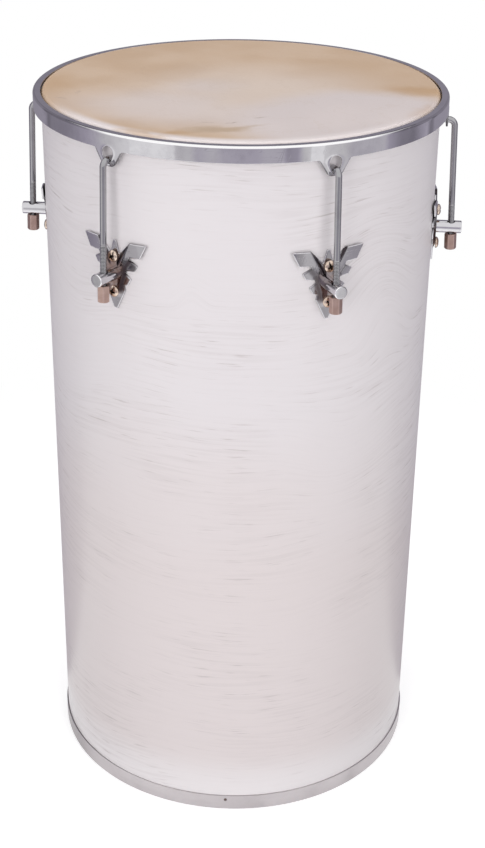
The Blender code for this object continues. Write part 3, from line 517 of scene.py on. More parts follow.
shoulder = (SHELL_OUTER - BEARING_ROUND, SHELL_TOP - BEARING_ROUND)
shoulder_round = BEARING_ROUND + 0.0003 + HIDE_THICKNESS
hide_section = np.concatenate([
    np.stack([np.linspace(0, 0.147, 12), np.full(12, HEAD_TOP)], axis=1),
    arc(shoulder, shoulder_round, 90, 0, 13),
    arc((RING_RADIUS, RING_HEIGHT), WRAP_RADIUS - HIDE_THICKNESS, 180, 460, 25),
    arc((RING_RADIUS, RING_HEIGHT), WRAP_RADIUS, 460, 180, 25),
    arc(shoulder, shoulder_round - HIDE_THICKNESS, 0, 90, 13),
    [(0.0, HEAD_TOP - HIDE_THICKNESS)],
]) * (0.9990, 1.0)
new_piece("hide_head", [turned(hide_section)], hide_material(), "drum_body", ["head_skin"], sharp=60)

# The flesh hoop is a ring of steel wire, hidden in the hide's wrapped edge.
WIRE_RADIUS = 0.0018


def wire_material():
    """Plain drawn steel wire, dull, with lines of drawing along it."""
    material, tree, shader = new_material("drawn steel wire", Metallic=1.0, Base_Color=(0.42, 0.42, 0.43, 1))
    uv = node(tree, "ShaderNodeTexCoord").outputs["UV"]
    drawn = noise(tree, uv, 3000.0, 2.0, 0.5, (0.01, 1.0, 1.0))
    tree.links.new(mixed(tree, drawn, (0.36, 0.36, 0.37, 1), (0.5, 0.5, 0.5, 1)), shader.inputs["Base Color"])
    tree.links.new(between(tree, drawn, 0.3, 0.7, 0.3, 0.5), shader.inputs["Roughness"])
    return material


wire_section = arc((RING_RADIUS * 0.999, RING_HEIGHT), WIRE_RADIUS, 0, 360, 13)
new_piece("flesh_hoop_wire", [turned(wire_section)], wire_material(), "drum_body", ["flesh_hoop"])

# The counter hoop is a strip of chromed steel, rolled to an angle: a flange over the hide's edge, a
# rounded corner and a face. Six ears stand down from the face, each with a pierced, drawn-out hole.
HOOP_RADIUS = 0.1612
HOOP_TOP = 0.5847
HOOP_HEIGHT = 0.0124
HOOP_CORNER = 0.0018
HOOP_METAL = 0.0015
FLANGE_INNER = 0.1552
HOOP_EDGE = 0.0004
CORNER_ROWS = slice(4, 13)
# The rounded corner's painted highlight is centred at this turn, towards the camera.
HIGHLIGHT_TURN = math.radians(5.6)
EAR_HALF_WIDTH = 0.0123
EAR_DEPTH = 0.0121
EAR_TIP = 0.0050
EAR_TIP_ROUND = 0.005
EAR_FILLET = 0.002
HOLE_RADIUS = 0.0049
HOLE_DROP = 0.0023
SEAT_RADIUS = 0.00275
SEAT_DROP = 0.0071
WINDOW_RISE = 0.0075
LIP_HEIGHT = 0.0003
LIP_WIDTH = 0.0010
STATIONS = [math.radians(30 + 60 * i) for i in range(6)]


def rounded(corners, count):
    """A path through corners (x, y, radius). Each corner becomes an arc of its radius: its centre is
    on the corner's bisector at radius / sin(half angle), and the arc spans the two tangents."""
    path = [np.array([corners[0][:2]])]
    for before, (x, y, radius), after in zip(corners, corners[1:], corners[2:]):
        back = math.atan2(before[1] - y, before[0] - x)
        on = math.atan2(after[1] - y, after[0] - x)
        half = ((on - back + math.pi) % (2 * math.pi) - math.pi) / 2
        reach = radius / math.sin(abs(half))
        centre = (x + reach * math.cos(back + half), y + reach * math.sin(back + half))
        turn = math.copysign(90 - math.degrees(abs(half)), half)
        middle = math.degrees(back + half) + 180
        path.append(arc(centre, radius, middle + turn, middle - turn, count))
    path.append(np.array([corners[-1][:2]]))
    return np.concatenate(path)


def inset(loop, distance):
    """A closed loop moved to its left: each point goes along the sum of its two edge normals over one
    plus their product, so that both edges shift by the distance."""
    on = np.roll(loop, -1, axis=0) - loop
    normal = np.stack([-on[:, 1], on[:, 0]], axis=1) / np.linalg.norm(on, axis=1, keepdims=True)
    before = np.roll(normal, 1, axis=0)
    mitre = (before + normal) / (1 + (before * normal).sum(axis=1, keepdims=True))
    return loop + distance * mitre


def over_edge(metal, edge):
    """The way over a cut edge of sheet metal, as (inset from the edge, depth below the face): a
    quarter round from the back to the wall, and one from the wall to the face."""
    t = np.radians(np.linspace(0, 90, 5))
    back = np.stack([edge * (1 - np.sin(t)), metal - edge * (1 - np.cos(t))], axis=1)
    front = np.stack([edge * (1 - np.cos(t)), edge * (1 - np.sin(t))], axis=1)
    return np.concatenate([back, front])


def ring_between(inner, outer, near, shares):
    """Closed rings between two loops with the same number of points: first at the distances near from
    the inner loop, then at shares of what is left. Returns an array of (ring, point, 2)."""
    span = outer - inner
    length = np.linalg.norm(span, axis=1, keepdims=True)
    steps = [np.minimum(distance / length, 1.0) for distance in near]
    last = steps[-1]
    steps += [last + (1 - last) * share for share in shares]
    return np.stack([inner + span * step for step in steps])


def share_round(loop, first):
    """How far round a closed loop each point is, as a share of its length from the point first."""
    length = path_length(np.concatenate([loop, loop[:1]]))
    return (length[:-1] - length[first]) / length[-1] % 1.0


def smooth_step(value):
    """0 below 0, 1 above 1, and 3 v^2 - 2 v^3 between."""
    v = np.clip(value, 0.0, 1.0)
    return v * v * (3 - 2 * v)


def wear_colours(tree, wear, clean, dull, share):
    """The clean colour, with smudges and scratches of the dull one."""
    marks = calc(tree, "MAXIMUM", wear["Smudge"], wear["Scratches"])
    return mixed(tree, calc(tree, "MULTIPLY", marks, share), clean, dull)


def chrome_material(name, clean, dull, roughness, relief):
    """Chrome plate: near-mirror, with soft smudges, hairline scratches and slight unevenness. Where the
    attribute edge is above 0 the colour darkens: painted shade in holes, on cut edges, corners and end
    faces, and the thread's darker valleys. Where it is below 0 the colour lightens: painted highlights on
    corners and chamfers, and the thread's lighter crests."""
    material, tree, shader = new_material(name, Metallic=1.0)
    where = node(tree, "ShaderNodeTexCoord").outputs["Object"]
    wear = with_group(tree, METAL_WEAR, {"Vector": where, "Scale": 1.6})
    # The attribute edge paints shade where it is above 0 and a highlight where it is below 0.
    shade_marks = node(tree, "ShaderNodeAttribute", attribute_name="edge").outputs["Fac"]
    colour = wear_colours(tree, wear, clean, dull, 0.45)
    colour = mixed(tree, between(tree, shade_marks, 0.0, -1.0), colour, (0.97, 0.96, 0.97, 1))
    tree.links.new(mixed(tree, shade_marks, colour, (0.03, 0.026, 0.03, 1)), shader.inputs["Base Color"])
    rough = between(tree, wear["Smudge"], 0.0, 1.0, roughness, roughness + 0.06)
    tree.links.new(calc(tree, "ADD", rough, calc(tree, "MULTIPLY", wear["Scratches"], 0.12)), shader.inputs["Roughness"])
    uneven = noise(tree, where, 55.0, 2.0)
    bumped(tree, shader, calc(tree, "SUBTRACT", uneven, calc(tree, "MULTIPLY", wear["Scratches"], 0.08)), relief)
    return material


def hoop_sheets():
    """The flange, corner and face are a section turned round the drum, down to the windows' tops.
    Between the windows the face goes on to its cut edge. Each window is filled by rings, from the
    pierced hole out to the window's sides and the ear's outline. A lip stands up round the hole: its
    height falls off as exp(-(d / width)^2) with the distance d from the hole."""
    bottom = HOOP_TOP - HOOP_HEIGHT
    ear = rounded([(-1, 0, 0), (-EAR_HALF_WIDTH, 0, EAR_FILLET), (-EAR_TIP, -EAR_DEPTH, EAR_TIP_ROUND),
                   (EAR_TIP, -EAR_DEPTH, EAR_TIP_ROUND), (EAR_HALF_WIDTH, 0, EAR_FILLET), (1, 0, 0)], 9)[1:-1]
    half = ear[-1, 0]
    around = np.concatenate([[(-1, 0)], ear, [(1, 0), (1, 1), (-1, 1)]])
    edge = over_edge(HOOP_METAL, HOOP_EDGE)
    side = np.concatenate([[HOOP_EDGE], np.linspace(HOOP_EDGE + 0.0002, WINDOW_RISE, 8)])
    top = np.linspace(half, -half, 25)
    outer = np.concatenate([
        np.stack([np.full(9, half), side], axis=1),
        np.stack([top, np.full(25, WINDOW_RISE)], axis=1)[1:],
        np.stack([np.full(9, -half), side[::-1]], axis=1)[1:],
        inset(around, HOOP_EDGE)[1:-3][1:]])
    spread = math.degrees(math.asin((HOLE_RADIUS - SEAT_RADIUS) / (SEAT_DROP - HOLE_DROP)))
    teardrop = np.concatenate([
        arc((0, -HOLE_DROP), HOLE_RADIUS, -spread, 180 + spread, 61),
        arc((0, -SEAT_DROP), SEAT_RADIUS, 180 + spread, 360 - spread, 30)])
    shares = share_round(outer[:-1], 20)
    places = share_round(teardrop, 30)
    hole = np.stack([np.interp(shares, places, teardrop[:, i], period=1.0) for i in (0, 1)], axis=1)

    def around_hole(distance):
        ring = inset(hole, -distance)
        return np.concatenate([ring, ring[:1]])

    rings = ring_between(around_hole(HOOP_EDGE), outer, (0, 0.0002, 0.0005, 0.0009), (0.15, 0.35, 0.6, 0.8, 1.0))
    from_hole = np.linalg.norm(rings - around_hole(0.0), axis=2)
    edge_depth = edge[:, 1:]
    parts = [(rings, 0.0, from_hole), (rings, HOOP_METAL, from_hole),
             (np.stack([around_hole(d) for d in edge[:, 0]]), edge_depth, edge[:, :1]),
             (np.stack([inset(around, d)[1:-3] for d in edge[:, 0]]), edge_depth, 1.0)]
    flange = FLANGE_INNER + HOOP_EDGE
    under = HOOP_TOP - HOOP_METAL
    bend = (HOOP_RADIUS - HOOP_CORNER, HOOP_TOP - HOOP_CORNER)
    section = np.concatenate([
        [(HOOP_RADIUS, bottom + WINDOW_RISE), (HOOP_RADIUS, bottom + 0.009), (HOOP_RADIUS, bend[1] - 0.0002)],
        arc(bend, HOOP_CORNER, 0, 90, 11), [(bend[0] - 0.0002, HOOP_TOP), (flange + 0.0002, HOOP_TOP)],
        arc((flange, HOOP_TOP - HOOP_EDGE), HOOP_EDGE, 90, 180, 5),
        arc((flange, under + HOOP_EDGE), HOOP_EDGE, 180, 270, 5),
        arc(bend, HOOP_CORNER - HOOP_METAL, 90, 0, 5), [(HOOP_RADIUS - HOOP_METAL, bottom + WINDOW_RISE)]])
    below = np.concatenate([
        np.stack([np.full(9, HOOP_RADIUS), bottom + side[::-1]], axis=1),
        np.stack([HOOP_RADIUS - edge[::-1, 1], bottom + edge[::-1, 0]], axis=1)[1:],
        np.stack([np.full(9, HOOP_RADIUS - HOOP_METAL), bottom + side], axis=1)[1:]])
    # Painted shade: the bottom of each hole goes dark, and each ear's cut edge is darkened.
    shaded_edges = [0.0, 0.0, smooth_step((-0.0055 - np.stack([around_hole(d)[:, 1] for d in edge[:, 0]])) / 0.002),
              smooth_step((0.001 - np.stack([inset(around, d)[1:-3, 1] for d in edge[:, 0]])) / 0.003) * 0.9]
    sheets, shading_values = [], []
    for station in STATIONS:
        for (flat, depth, distance), shade_marks in zip(parts, shaded_edges):
            sideways, up = flat[..., 0], flat[..., 1]
            lip = LIP_HEIGHT * np.exp(-(np.asarray(distance) / LIP_WIDTH) ** 2)
            points = on_drum(station + sideways / HOOP_RADIUS, HOOP_RADIUS - depth + lip, bottom + up)
            sheets.append(sheet(points, np.stack([sideways + station * HOOP_RADIUS, up], axis=-1)))
            shading_values.append(np.broadcast_to(shade_marks, sideways.shape).ravel())
        gap = np.linspace(station + half / HOOP_RADIUS, station + math.pi / 3 - half / HOOP_RADIUS, 33)
        whole = np.concatenate([station + top[::-1] / HOOP_RADIUS, gap[1:]])
        for path, turn in ((section, whole), (below, gap)):
            points = on_drum(turn, path[:, :1], path[:, 1:])
            uv = np.stack(np.broadcast_arrays(turn * HOOP_RADIUS, path_length(path)[:, None]), -1)
            sheets.append(sheet(points, uv))
            # Painted light on the rounded corner: a highlight where it faces the front, and painted shade round the
            # rest.
            highlight_and_shade = np.zeros(points.shape[:2])
            if path is section:
                corner_highlight = smooth_step((np.cos(turn - HIGHLIGHT_TURN) - 0.72) / 0.12)
                highlight_and_shade[CORNER_ROWS] = 0.30 - 1.30 * corner_highlight
            shading_values.append(highlight_and_shade.ravel())
    return sheets, np.concatenate(shading_values)


chrome_hoop = chrome_material("chrome of the hoop", (0.66, 0.65, 0.675, 1), (0.50, 0.48, 0.52, 1), 0.04, 0.00009)
hoop_shape, hoop_dirt = hoop_sheets()
new_piece("counter_hoop_metal", hoop_shape, chrome_hoop, "hoop_body", ["counter_hoop"],
          edge=hoop_dirt)

# Each lug plate is a star of chromed sheet: a top spike, two swept wings, four prongs and a bottom
# spike. It lies round the drum, and its spine is pressed up to take the post and the screws.
LUG_HEIGHT = 0.4782
PLATE_BACK = 0.1551
PLATE_METAL = 0.0013
PLATE_RAISE = 0.0016
PLATE_EDGE = 0.00045
PLATE_BEVEL = 0.0010
PLATE_CORNER = 0.0005
PLATE_HALF = [
    (0.0011, 0.0257), (0.0041, 0.0155), (0.0141, 0.0260), (0.0286, 0.0264), (0.0230, 0.0154),
    (0.0141, 0.0149), (0.0130, 0.0125), (0.0200, 0.0090), (0.0172, 0.0043), (0.0101, 0.0033),
    (0.0092, 0.0014), (0.0144, -0.0025), (0.0114, -0.0075), (0.0078, -0.0084), (0.0090, -0.0121),
    (0.0014, -0.0280),
]
PLATE_CUT = 0.0008
ARM_CREASE = ((0.0022, 0.0030), (0.0036, 0.0068), (0.0052, 0.0112), (0.0064, 0.0140), (0.0103, 0.0202), (0.0140, 0.0262))
SPINE_SIDE = ((0.0290, 0.0128), (0.0142, 0.0122), (0.0100, 0.0070), (0.0086, -0.0005), (0.0066, -0.0060),
              (0.0056, -0.0120), (0.0044, -0.0180))
SIDE_SLOPE = 0.0028


def cut_across(work, place, normal):
    """Gives a mesh a straight line of points where a plane crosses it."""
    bmesh.ops.bisect_plane(work, geom=work.verts[:] + work.edges[:] + work.faces[:], plane_co=place,
                           plane_no=normal, dist=0.00004)


def flat_star():
    """The plate before it is bent, as (sideways, up, depth behind the face) and its faces. Its edge is
    a quarter round. Straight cuts across it, both ways, give it the points that the bends need."""
    corners = PLATE_HALF + [(-x, z) for x, z in reversed(PLATE_HALF)]
    corners = [(x, z, PLATE_CORNER) for x, z in corners]
    loop = rounded([corners[-1], *corners, corners[0]], 3)[1:-1][::-1]
    turn = np.radians(np.linspace(0, 90, 5))
    rings = [(0.0, PLATE_METAL)]
    rings += [(PLATE_BEVEL * (1 - math.cos(t)), PLATE_EDGE * (1 - math.sin(t))) for t in turn]
    rings += [(PLATE_BEVEL + 0.00012, 0.0)]
    count = len(loop)
    points = np.concatenate([
        np.column_stack([inset(loop, distance), np.full(count, depth)]) for distance, depth in rings])
    work = bmesh.new()
    verts = [work.verts.new(p) for p in points]
    for ring in range(len(rings) - 1):
        for i in range(count):
            j = (i + 1) % count
            a, b = ring * count, (ring + 1) * count
            work.faces.new((verts[a + i], verts[a + j], verts[b + j], verts[b + i]))
    work.faces.new(verts[:count][::-1])
    work.faces.new(verts[-count:])
    for axis, reach in ((0, 0.0288), (1, 0.0282)):
        for cut in np.arange(-reach, reach, PLATE_CUT):
            place, normal = [0.0, 0.0, 0.0], [0.0, 0.0, 0.0]
            place[axis], normal[axis] = cut, 1.0
            cut_across(work, place, normal)
    mesh = bpy.data.meshes.new("flat_star")
    work.to_mesh(mesh)
    work.free()
    points = np.zeros(len(mesh.vertices) * 3)
    mesh.vertices.foreach_get("co", points)
    faces = [tuple(face.vertices) for face in mesh.polygons]
    bpy.data.meshes.remove(mesh)
    return points.reshape(-1, 3), faces


def beside(x, y, line):
    """The signed distance of points from a line of straight parts, above 0 on its right. Each point
    takes its nearest part, where the distance is that of its projection kept within the part."""
    best, signed = np.full(x.shape, np.inf), np.zeros(x.shape)
    for (x0, y0), (x1, y1) in zip(line, line[1:]):
        on_x, on_y = x1 - x0, y1 - y0
        share = np.clip(((x - x0) * on_x + (y - y0) * on_y) / (on_x ** 2 + on_y ** 2), 0, 1)
        away = np.hypot(x - x0 - share * on_x, y - y0 - share * on_y)
        nearer = away < best
        best = np.where(nearer, away, best)
        signed = np.where(nearer, np.sign((x - x0) * on_y - (y - y0) * on_x) * away, signed)
    return signed


def press(sideways, up):
    """The press of the plate, from 0 to 1: the spine and the two arms out to the wings stand up,
    the prongs and the spikes lie low. A crease parts the spine from each arm and follows the wing's
    upper edge. Also how near a point is to the crease, and to the foot of the raised part."""
    x = np.abs(sideways)
    crease = beside(x, up, ARM_CREASE)
    side = beside(x, up, SPINE_SIDE)
    width = np.interp(up, (0.004, 0.013, 0.026), (0.0012, 0.0022, 0.0009))
    high = smooth_step((0.0165 - up) / 0.005)
    raised = smooth_step(0.5 + side / SIDE_SLOPE) * np.maximum(smooth_step(0.5 + crease / width), high)
    raised *= smooth_step((up + 0.0185) / 0.006)
    at_crease = np.exp(-(crease / (0.55 * width)) ** 2) * smooth_step((up - 0.0055) / 0.004)
    at_foot = np.exp(-(side / (0.72 * SIDE_SLOPE)) ** 2) * smooth_step((up + 0.0165) / 0.006)
    at_foot *= smooth_step((0.0245 - x) / 0.008)
    return raised - 0.22 * at_crease, at_crease, at_foot


def bent_star(points, station, spring):
    """The star round the drum at its station: sideways runs round the drum. It stands up by the press,
    and each wing springs off the drum by its own amount at its tip."""
    sideways, up, depth = points.T
    reach = smooth_step((np.hypot(sideways, np.maximum(up, 0)) - 0.013) / 0.024)
    off = np.where(sideways < 0, spring[0], spring[1]) * reach
    radius = PLATE_BACK + PLATE_METAL - depth + PLATE_RAISE * press(sideways, up)[0] + off
    return on_drum(station + sideways / PLATE_BACK, radius, LUG_HEIGHT + up)


def plate_material():
    """Chrome on pressed sheet: duller than the hoop. The attribute warm browns the spine round the
    screws and post, a painted reflection of the brass and copper beside it. The attribute dark is
    painted shade along the creases, at the foot of the flanks and on the side towards the drum's front.
    The attribute bright lightens every bevel: rubbed edges and a painted highlight."""
    material, tree, shader = new_material("chrome of the plates", Metallic=1.0)
    where = node(tree, "ShaderNodeTexCoord").outputs["Object"]
    warm = node(tree, "ShaderNodeAttribute", attribute_name="warm").outputs["Fac"]
    dark = node(tree, "ShaderNodeAttribute", attribute_name="dark").outputs["Fac"]
    wear = with_group(tree, METAL_WEAR, {"Vector": where, "Scale": 1.6})
    colour = wear_colours(tree, wear, (0.48, 0.465, 0.49, 1), (0.36, 0.345, 0.365, 1), 0.4)
    bright_edges = node(tree, "ShaderNodeAttribute", attribute_name="bright").outputs["Fac"]
    # Bright bevels: rubbed edges and a painted highlight.
    colour = mixed(tree, calc(tree, "MULTIPLY", bright_edges, 0.5), colour, (0.88, 0.87, 0.89, 1))
    uneven = noise(tree, where, 300.0, 2.0)
    # Painted reflection: the brown of the brass screws and copper nut, over the spine.
    reflected_brown = calc(tree, "MULTIPLY", warm, between(tree, uneven, 0.25, 0.75, 0.6, 1.0))
    colour = mixed(tree, reflected_brown, colour, (0.30, 0.165, 0.115, 1))
    # Painted shade: the attribute dark turns the colour near black.
    tree.links.new(mixed(tree, dark, colour, (0.035, 0.025, 0.03, 1)), shader.inputs["Base Color"])
    rough = between(tree, wear["Smudge"], 0.0, 1.0, 0.06, 0.14)
    tree.links.new(calc(tree, "ADD", rough, calc(tree, "MULTIPLY", reflected_brown, 0.04)), shader.inputs["Roughness"])
    bumped(tree, shader, calc(tree, "SUBTRACT", noise(tree, where, 90.0), wear["Scratches"]), 0.00006)
    return material


star_points, star_faces = flat_star()
star_x, star_up = star_points[:, 0], star_points[:, 1]
pressed, at_crease, at_foot = press(star_x, star_up)
# The region round the screws and post, which takes the painted brown reflection.
round_the_screws = smooth_step((0.0120 - np.hypot(star_x, star_up * 0.62)) / 0.004)
on_bevel = np.where((star_points[:, 2] > 0.00006) & (star_points[:, 2] < PLATE_EDGE + 0.00001), 1.0, 0.0)
chrome_plate = plate_material()
for number, (station, spring, reflected_brown) in enumerate(zip(
        STATIONS,
        ((0.0003, 0.0001), (0.0002, 0.0002), (0.0001, 0.0003), (0.0003, 0.0002), (0.0002, 0.0001), (0.0001, 0.0005)),
        (0.45, 0.5, 0.6, 0.4, 0.5, 0.85))):
    mesh = bpy.data.meshes.new(f"star_plate_{number + 1}")
    mesh.from_pydata(bent_star(star_points, station, spring), [], star_faces)
    # Painted shade: dark along the creases and at the foot of the flanks, more on the side towards the drum's front,
    # with a light shade over that whole side.
    inward = smooth_step(0.5 + star_x * (-1 if number < 3 else 1) / 0.006)
    foot = at_foot ** (1 - 0.5 * inward) * (0.50 + 0.50 * reflected_brown ** 2 + 0.22 * inward)
    shade_marks = np.clip(np.maximum(np.maximum(2.2 * at_crease, foot), 0.16 * inward * (1 - on_bevel)), 0, 0.97)
    # Painted shade: a dark patch on one prong beside the spine, on the plate with the strongest brown reflection.
    if reflected_brown > 0.8:
        shade_marks = np.maximum(shade_marks, 0.75 * smooth_step(1.7 - np.hypot(star_x - 0.0158, star_up - 0.0068) / 0.003))
    for name, values in (("warm", round_the_screws * reflected_brown), ("dark", shade_marks), ("bright", on_bevel)):
        mesh.attributes.new(name, "FLOAT", "POINT").data.foreach_set("value", values.astype(np.float32))
    work = bmesh.new()
    work.from_mesh(mesh)
    bmesh.ops.recalc_face_normals(work, faces=work.faces)
    work.to_mesh(mesh)
    work.free()
    finished_piece(mesh, chrome_plate, "drum_body", [f"lug_plate_{number + 1}"], sharp=60)

# Each post is a turned and chromed steel bar, riveted behind its plate. A hole drilled across it
# passes the rod, with a slight countersink at each mouth.
POST_RADIUS = 0.005
POST_SHOULDER = 0.15804
POST_END = 0.1779
POST_CHAMFER = 0.0007
POST_HOLE_RADIUS = 0.0031
COUNTERSINK = 0.0004
ROD_AT_POST = 0.1696
WINDOW_TURN = math.radians(67.5)
WINDOW_REACH = 0.0046
POST_STEPS = 64
END_MARK = 0.001
END_DARKENING = (0.001, 0.1, 0.2, 0.2, 0.1, 0.24)


def post_sheets():
    """The bar lies along Z, with the drum's up as its Y. The bar is grids of turn by length. At the top
    and the bottom, rings from the countersunk hole's mouth out to a window's edge, laid on the round.
    Returns the sheets and their edge values: painted shade in the hole, and a painted highlight on the chamfer."""
    hole_at = ROD_AT_POST - POST_SHOULDER
    length = POST_END - POST_SHOULDER
    start, end = hole_at - WINDOW_REACH, hole_at + WINDOW_REACH

    def on_bar(turn, along):
        return np.stack(np.broadcast_arrays(POST_RADIUS * np.sin(turn), POST_RADIUS * np.cos(turn), along), -1)

    def bar(turns, rows):
        uv = np.stack(np.broadcast_arrays(turns * POST_RADIUS, rows[:, None]), -1)
        return sheet(on_bar(turns, rows[:, None]), uv)

    full = np.linspace(-math.pi, math.pi, POST_STEPS + 1)
    window_rows = np.linspace(start, end, 9)
    columns = int(round(WINDOW_TURN / (2 * math.pi / POST_STEPS)))
    window_turns = np.linspace(-WINDOW_TURN, WINDOW_TURN, 2 * columns + 1)
    side_turns = np.linspace(WINDOW_TURN, math.pi - WINDOW_TURN, POST_STEPS // 2 - 2 * columns + 1)
    sheets = [bar(full, np.linspace(0, start, 4)), bar(full, np.linspace(end, length - POST_CHAMFER, 4)),
              bar(side_turns, window_rows), bar(-side_turns, window_rows)]
    edge = np.concatenate([
        np.stack([window_turns, np.full(len(window_turns), start)], axis=1)[:-1],
        np.stack([np.full(9, WINDOW_TURN), window_rows], axis=1)[:-1],
        np.stack([window_turns[::-1], np.full(len(window_turns), end)], axis=1)[:-1],
        np.stack([np.full(9, -WINDOW_TURN), window_rows[::-1]], axis=1)])
    direction = np.arctan2(edge[:, 1] - hole_at, edge[:, 0] * POST_RADIUS)
    mouth_radius = POST_HOLE_RADIUS + COUNTERSINK
    across = mouth_radius * np.cos(direction)
    mouth = np.stack([np.arcsin(across / POST_RADIUS), hole_at + mouth_radius * np.sin(direction)], axis=1)
    rings = ring_between(mouth, edge, (0.0,), (0.12, 0.3, 0.5, 0.75, 1.0))
    patch = on_bar(rings[..., 0], rings[..., 1])
    throat_across = POST_HOLE_RADIUS * np.cos(direction)
    throat_height = np.sqrt(POST_RADIUS ** 2 - across ** 2) - COUNTERSINK
    levels = np.linspace(1, -1, 7)[:, None]
    bore = np.stack(np.broadcast_arrays(throat_across, levels * throat_height,
                                        hole_at + POST_HOLE_RADIUS * np.sin(direction)), -1)
    sink_top = np.stack([patch[0], bore[0]])
    sink_bottom = np.stack([patch[0] * (1, -1, 1), bore[-1]])
    none = np.zeros(2)
    sheets += [sheet(patch, none), sheet(patch * (1, -1, 1), none)]
    edge_values = [np.zeros(sum(len(s[0]) for s in sheets))]
    sheets += [sheet(bore, none), sheet(sink_top, none), sheet(sink_bottom, none)]
    # Painted shade: the bore and both countersinks go dark.
    edge_values.append(np.full(sum(len(s[0]) for s in sheets[-3:]), 0.9))
    rim = POST_RADIUS - POST_CHAMFER
    end_section = np.concatenate([arc((rim, length - POST_CHAMFER), POST_CHAMFER, 0, 90, 6),
                                  [(rim * 0.5, length), (0, length)]])
    turn = full
    for section in (end_section, np.array([(0.0, 0.0), (POST_RADIUS * 0.5, 0.0), (POST_RADIUS, 0.0)])):
        points = np.stack(np.broadcast_arrays(section[:, :1] * np.sin(turn), section[:, :1] * np.cos(turn),
                                              section[:, 1:]), -1)
        sheets.append(sheet(points, none))
        # Painted highlight on the chamfer. The end face is marked for its own darkening.
        on_chamfer = (section[:, 1] > length - POST_CHAMFER * 0.98) & (section[:, 1] < length - 0.00001)
        values = np.where(on_chamfer, -1.0, np.where(section[:, 1] > 0, END_MARK, 0.0))
        edge_values.append(values.repeat(len(turn)))
    return sheets, np.concatenate(edge_values)


post_shape, post_edge = post_sheets()
chrome_post = chrome_material("chrome of the posts", (0.67, 0.66, 0.685, 1), (0.47, 0.46, 0.48, 1), 0.07, 0.00004)
for number, station in enumerate(STATIONS):
    place = out_of_drum(station, POST_SHOULDER, LUG_HEIGHT)
    local = np.concatenate([part[0] for part in post_shape])
    # Painted light on the chamfer: a highlight on the side towards the drum's front, painted shade on the other side.
    # Each end face is darkened by its own amount.
    inward = local[:, 0] * (-0.95 if number < 3 else 0.95) + 0.3 * local[:, 1]
    highlight_and_shade = 0.60 - 1.60 * smooth_step(inward / POST_RADIUS + 0.15)
    edge = np.select([post_edge == END_MARK, post_edge < 0], [END_DARKENING[number], highlight_and_shade], post_edge)
    new_piece(f"post_{number + 1}", moved(post_shape, place), chrome_post, "drum_body",
              [f"lug_post_{number + 1}"], edge=edge)

# Two brass machine screws hold each plate, one above the post and one below. Each has a pan head with
# a cross recess, and runs through the shell into a flanged nut inside.
SCREW_SEAT = 0.1581
SCREW_HEAD_RADIUS = 0.0045
SCREW_HEAD_HEIGHT = 0.0028
SCREW_RADIUS = 0.002
SCREW_LENGTH = 0.0158
SCREW_SPACING = 0.0275
RECESS_LENGTH = 0.0025
RECESS_WIDTH = 0.00078
RECESS_DEPTH = 0.0017
SCREW_TURNS = ((20, 62), (75, 8), (40, 15), (5, 50), (66, 31), (28, 80))
SCREW_BRASS = (0.82, 0.68, 0.57, 1)
SCREW_TARNISH_AND_SHADE = (0.27, 0.145, 0.085, 1)


def screw_sheets():
    """Head: height over (radius, turn) is the dome, less the recess. The recess is two crossed bars,
    whose depth rises smoothly from their edges. Shank: a lathe section with ridges for the thread."""
    radius = np.concatenate([np.linspace(0, 0.0026, 27), np.linspace(0.0028, SCREW_HEAD_RADIUS, 12)])[:, None]
    turn = np.linspace(0, 2 * math.pi, 97)
    x, y = radius * np.cos(turn), radius * np.sin(turn)
    share = radius / SCREW_HEAD_RADIUS
    dome = SCREW_HEAD_HEIGHT * (0.20 + 0.80 * np.sqrt(np.clip(1 - share ** 2.1, 0, 1)))

    def bar(along, across):
        taper = RECESS_WIDTH * (1 - 0.25 * np.abs(along) / RECESS_LENGTH)
        return np.minimum(taper - np.abs(across), RECESS_LENGTH - np.abs(along))

    inside = np.maximum(bar(x, y), bar(y, x))
    height = dome - RECESS_DEPTH * smooth_step(inside / 0.0003 + 0.5) * (1 - 0.35 * share)
    head = np.stack(np.broadcast_arrays(x, y, height), -1)
    rim = lathe([(SCREW_HEAD_RADIUS, 0.20 * SCREW_HEAD_HEIGHT), (SCREW_HEAD_RADIUS, 0.0002),
                 (SCREW_HEAD_RADIUS - 0.0002, 0.0), (SCREW_RADIUS, 0.0)], 96)
    depth = np.linspace(0.0, SCREW_LENGTH, 90)
    ridges = SCREW_RADIUS - 0.00022 * (0.5 + 0.5 * np.cos(depth / 0.0007 * 2 * math.pi)) * (depth > 0.008)
    shank = lathe(np.concatenate([np.stack([ridges, -depth], axis=1), [(0.0, -SCREW_LENGTH)]]), 24)
    # Painted shade in the cross recess.
    shading_values = smooth_step(inside / 0.0003 + 0.5)
    shading_values = np.concatenate([shading_values.ravel(), np.zeros(len(rim[0]) + len(shank[0]))])
    return [sheet(head, np.stack([x, y], axis=-1)), rim, shank], shading_values


